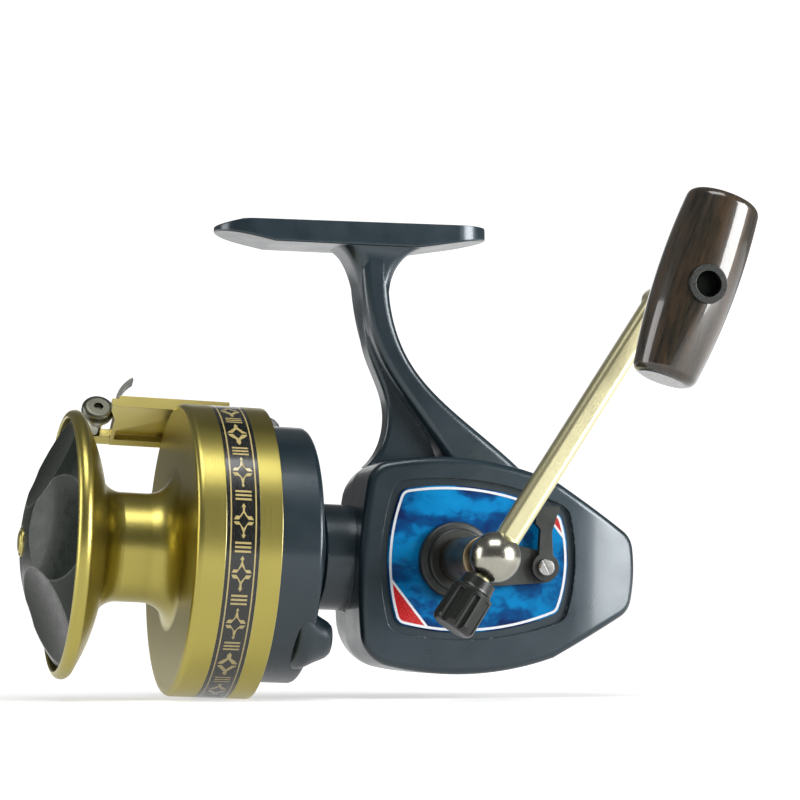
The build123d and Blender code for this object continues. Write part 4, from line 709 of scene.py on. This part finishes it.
def loftRings(name, rings, body):
    mesh = bmesh.new()
    loops = [[mesh.verts.new(point) for point in ring] for ring in rings]
    count = len(loops[0])
    for lower, upper in zip(loops, loops[1:]):
        for step in range(count):
            following = (step + 1) % count
            mesh.faces.new((lower[step], lower[following], upper[following], upper[step]))
    for loop in (loops[0][::-1], loops[-1]):
        mesh.faces.new(loop)
    bmesh.ops.recalc_face_normals(mesh, faces=mesh.faces[:])
    for face in mesh.faces:
        face.smooth = len(face.verts) == 4
    return makePiece(name, mesh, enamel, body)


# the stem spreads into the foot
def stemFlare():
    look = {
        # millimetres: above the crank's axis, front and rear from that axis, half width
        "rings": [
            (79.75, -32.4, -8.6, 8.60), (78.6, -29.8, -11.0, 8.20), (77.0, -28.0, -13.0, 8.02),
            (75.0, -26.7, -14.6, 7.98), (73.0, -25.7, -15.7, 7.96), (70.5, -24.8, -16.5, 7.96),
            (66.0, -23.5, -16.95, 7.96), (61.0, -22.4, -17.0, 7.90), (57.0, -21.3, -16.9, 7.0),
            (54.0, -20.0, -16.9, 5.0),
        ],
        "frontCorner": 4.4,
        "rearCorner": 2.6,
        "cornerMargin": 0.1,        # left of a half width by its corners
        "cornerSteps": 8,
        "heights": 40,
        "smoothings": 2,
    }
    up = crankAxis.cross(reelAxis)
    up = up if up.z > 0 else -up
    table = np.array(look["rings"])
    heights = np.linspace(table[0, 0], table[-1, 0], look["heights"])
    columns = []
    for column in (1, 2, 3):
        values = np.interp(-heights, -table[:, 0], table[:, column])
        for _ in range(look["smoothings"]):
            values[1:-1] = 0.25 * values[:-2] + 0.5 * values[1:-1] + 0.25 * values[2:]
        columns.append(values.tolist())
    rings = []
    for height, front, rear, half in zip(heights.tolist(), *columns):
        largest = half - look["cornerMargin"]
        behind, before = min(look["rearCorner"], largest), min(look["frontCorner"], largest)
        corners = ((rear - behind, half - behind, behind), (front + before, half - before, before),
                   (front + before, before - half, before), (rear - behind, behind - half, behind))
        ring = []
        for turn, (x, y, corner) in enumerate(corners):
            for step in range(look["cornerSteps"] + 1):
                angle = math.radians(90 * turn + 90 * step / look["cornerSteps"])
                along, across = x + corner * math.cos(angle), y + corner * math.sin(angle)
                place = along * reelAxis + across * crankAxis + height * up
                ring.append(crankPoint + place * millimetre)
        rings.append(ring)
    loftRings("stemFlare", rings, "frame")


# the lug's root spreads into the rotor
def lugFairing():
    look = {
        "angle": 43.0,      # degrees from the bottom towards the handle
        # millimetres: ahead of the crank's axis, out from the reel's axis, half width across and along the rim
        "rings": [
            (41.5, 27.6, 4.6, 12.5), (39.8, 28.2, 5.5, 11.2), (38.4, 28.5, 5.75, 9.8), (36.9, 28.6, 5.45, 8.0),
            (35.5, 28.6, 5.0, 6.6), (34.0, 28.6, 4.6, 5.6), (32.8, 28.6, 4.1, 4.8), (32.0, 28.6, 3.4, 3.9),
            (31.75, 28.6, 2.3, 2.6),
        ],
        "steps": 32,
    }
    down = crankAxis.cross(reelAxis)
    down = down if down.z < 0 else -down
    rings = []
    for ahead, orbit, across, along in look["rings"]:
        start = crankPoint - reelAxis * ahead * millimetre
        ring = []
        for step in range(look["steps"]):
            turn = math.tau * step / look["steps"]
            angle = math.radians(look["angle"]) + along * math.cos(turn) / orbit
            spoke = down * math.cos(angle) + crankAxis * math.sin(angle)
            ring.append(start + spoke * (orbit + across * math.sin(turn)) * millimetre)
        rings.append(ring)
    loftRings("lugFairing", rings, "rotor")


emblemInlays()
bandTrim()
print("trim inlaid")
stemFlare()
lugFairing()
print("fairings cast")


# a pale floor and backdrop that look white far off, and three softboxes
def studio():
    look = {
        "cardColour": (0.50, 0.50, 0.50),
        "cardCloud": (0.53, 0.53, 0.53),
        "cloudsPerMillimetre": 0.002,
        "glowRange": (0.10, 0.45),      # metres from the part: the shadow stays, the distance is white
        "floorGlow": 0.60,              # under the part
        "backdropGlow": 1.0,
        "floorReach": 3.0,
        "backdropSides": (0.0, 1.8),
        "backdropTop": 1.2,
        "backdropSink": 0.01,
        "worldGrey": 0.16,
        "softboxes": {
            "rightBox": {"place": (0.73, -0.57, 0.06), "size": (0.52, 0.8), "power": 20.0},
            "leftBox": {"place": (-0.95, 0.14, 0.10), "size": (0.45, 0.9), "power": 6.0},
            "topBox": {"place": (-0.10, -0.35, 0.85), "size": (0.6, 0.4), "power": 5.0},
        },
    }
    low, high = (Vector(corner) for corner in cadBox)
    centre = (low + high) / 2
    scene = bpy.context.scene

    def paleCard(name, glowBelow):
        material, tree, shader = newMaterial(name, {
            "Roughness": 0.9, "Specular IOR Level": 0.0, "Emission Color": (1, 1, 1, 1)})
        ray = addNode(tree, "ShaderNodeLightPath")
        seen = mathStep(tree, "MAXIMUM", ray.outputs["Is Camera Ray"], ray.outputs["Is Glossy Ray"])
        seen = mathStep(tree, "MAXIMUM", seen, ray.outputs["Is Transmission Ray"])
        coords = restCoords(tree)
        cloud = grainNoise(tree, coords, look["cloudsPerMillimetre"], 2.0)
        colour = colourMix(tree, cloud, look["cardColour"], look["cardCloud"])
        tree.links.new(colour, shader.inputs["Base Color"])
        offset = vectorStep(tree, "SUBTRACT", coords, (centre.x, centre.y, low.z))
        away = vectorStep(tree, "LENGTH", offset)
        glow = stepRange(tree, away, *look["glowRange"], glowBelow, 1.0)
        tree.links.new(mathStep(tree, "MULTIPLY", seen, glow), shader.inputs["Emission Strength"])
        return material

    def sheet(name, corners, material):
        mesh = bmesh.new()
        mesh.faces.new([mesh.verts.new(corner) for corner in corners])
        data = bpy.data.meshes.new(name)
        mesh.to_mesh(data)
        mesh.free()
        data.materials.append(material)
        plane = bpy.data.objects.new(name, data)
        scene.collection.objects.link(plane)

    reach = look["floorReach"]
    ground = ((-reach, -reach), (reach, -reach), (reach, reach), (-reach, reach))
    sheet("floor", [(x, y, low.z) for x, y in ground], paleCard("floorCard", look["floorGlow"]))
    left, right = look["backdropSides"]
    bottom, top = low.z - look["backdropSink"], look["backdropTop"]
    wall = ((left, bottom), (right, bottom), (right, top), (left, top))
    sheet("backdrop", [(x, reach, z) for x, z in wall], paleCard("backdropCard", look["backdropGlow"]))

    for name, box in look["softboxes"].items():
        lamp = bpy.data.lights.new(name, "AREA")
        lamp.shape = "RECTANGLE"
        lamp.size, lamp.size_y = box["size"]
        lamp.energy = box["power"]
        holder = bpy.data.objects.new(name, lamp)
        holder.location = centre + Vector(box["place"])
        holder.rotation_euler = (centre - holder.location).to_track_quat("-Z", "Y").to_euler()
        scene.collection.objects.link(holder)

    world = bpy.data.worlds.new("studioAir")
    world.use_nodes = True
    air = world.node_tree.nodes["Background"]
    air.inputs["Color"].default_value = (1, 1, 1, 1)
    air.inputs["Strength"].default_value = look["worldGrey"]
    scene.world = world
    scene.view_settings.view_transform = "Standard"


def camera():
    look = {
        "azimuth": -14.92,      # degrees
        "elevation": -4.69,
        "roll": -0.16,
        "distance": 0.700,
        "lens": 122.9,
        "sensor": 36.0,
        "clip": (0.01, 20.0),
        "aim": Vector((0.0130, 0.0, -0.0444)),
    }
    azimuth, elevation, roll = (math.radians(look[key]) for key in ("azimuth", "elevation", "roll"))
    level = math.cos(elevation)
    back = Vector((math.sin(azimuth) * level, -math.cos(azimuth) * level, math.sin(elevation)))
    right = Vector((math.cos(azimuth), math.sin(azimuth), 0))
    up = back.cross(right)
    turn = Matrix.Rotation(roll, 3, back)
    right, up = turn @ right, turn @ up
    lens = bpy.data.cameras.new("productCamera")
    lens.lens = look["lens"]
    lens.sensor_width = look["sensor"]
    lens.clip_start, lens.clip_end = look["clip"]
    holder = bpy.data.objects.new("productCamera", lens)
    placed = Matrix((right, up, back)).transposed().to_4x4()
    placed.translation = look["aim"] + back * look["distance"]
    holder.matrix_world = placed
    bpy.context.scene.collection.objects.link(holder)
    bpy.context.scene.camera = holder


studio()
camera()
print("studio and camera set")
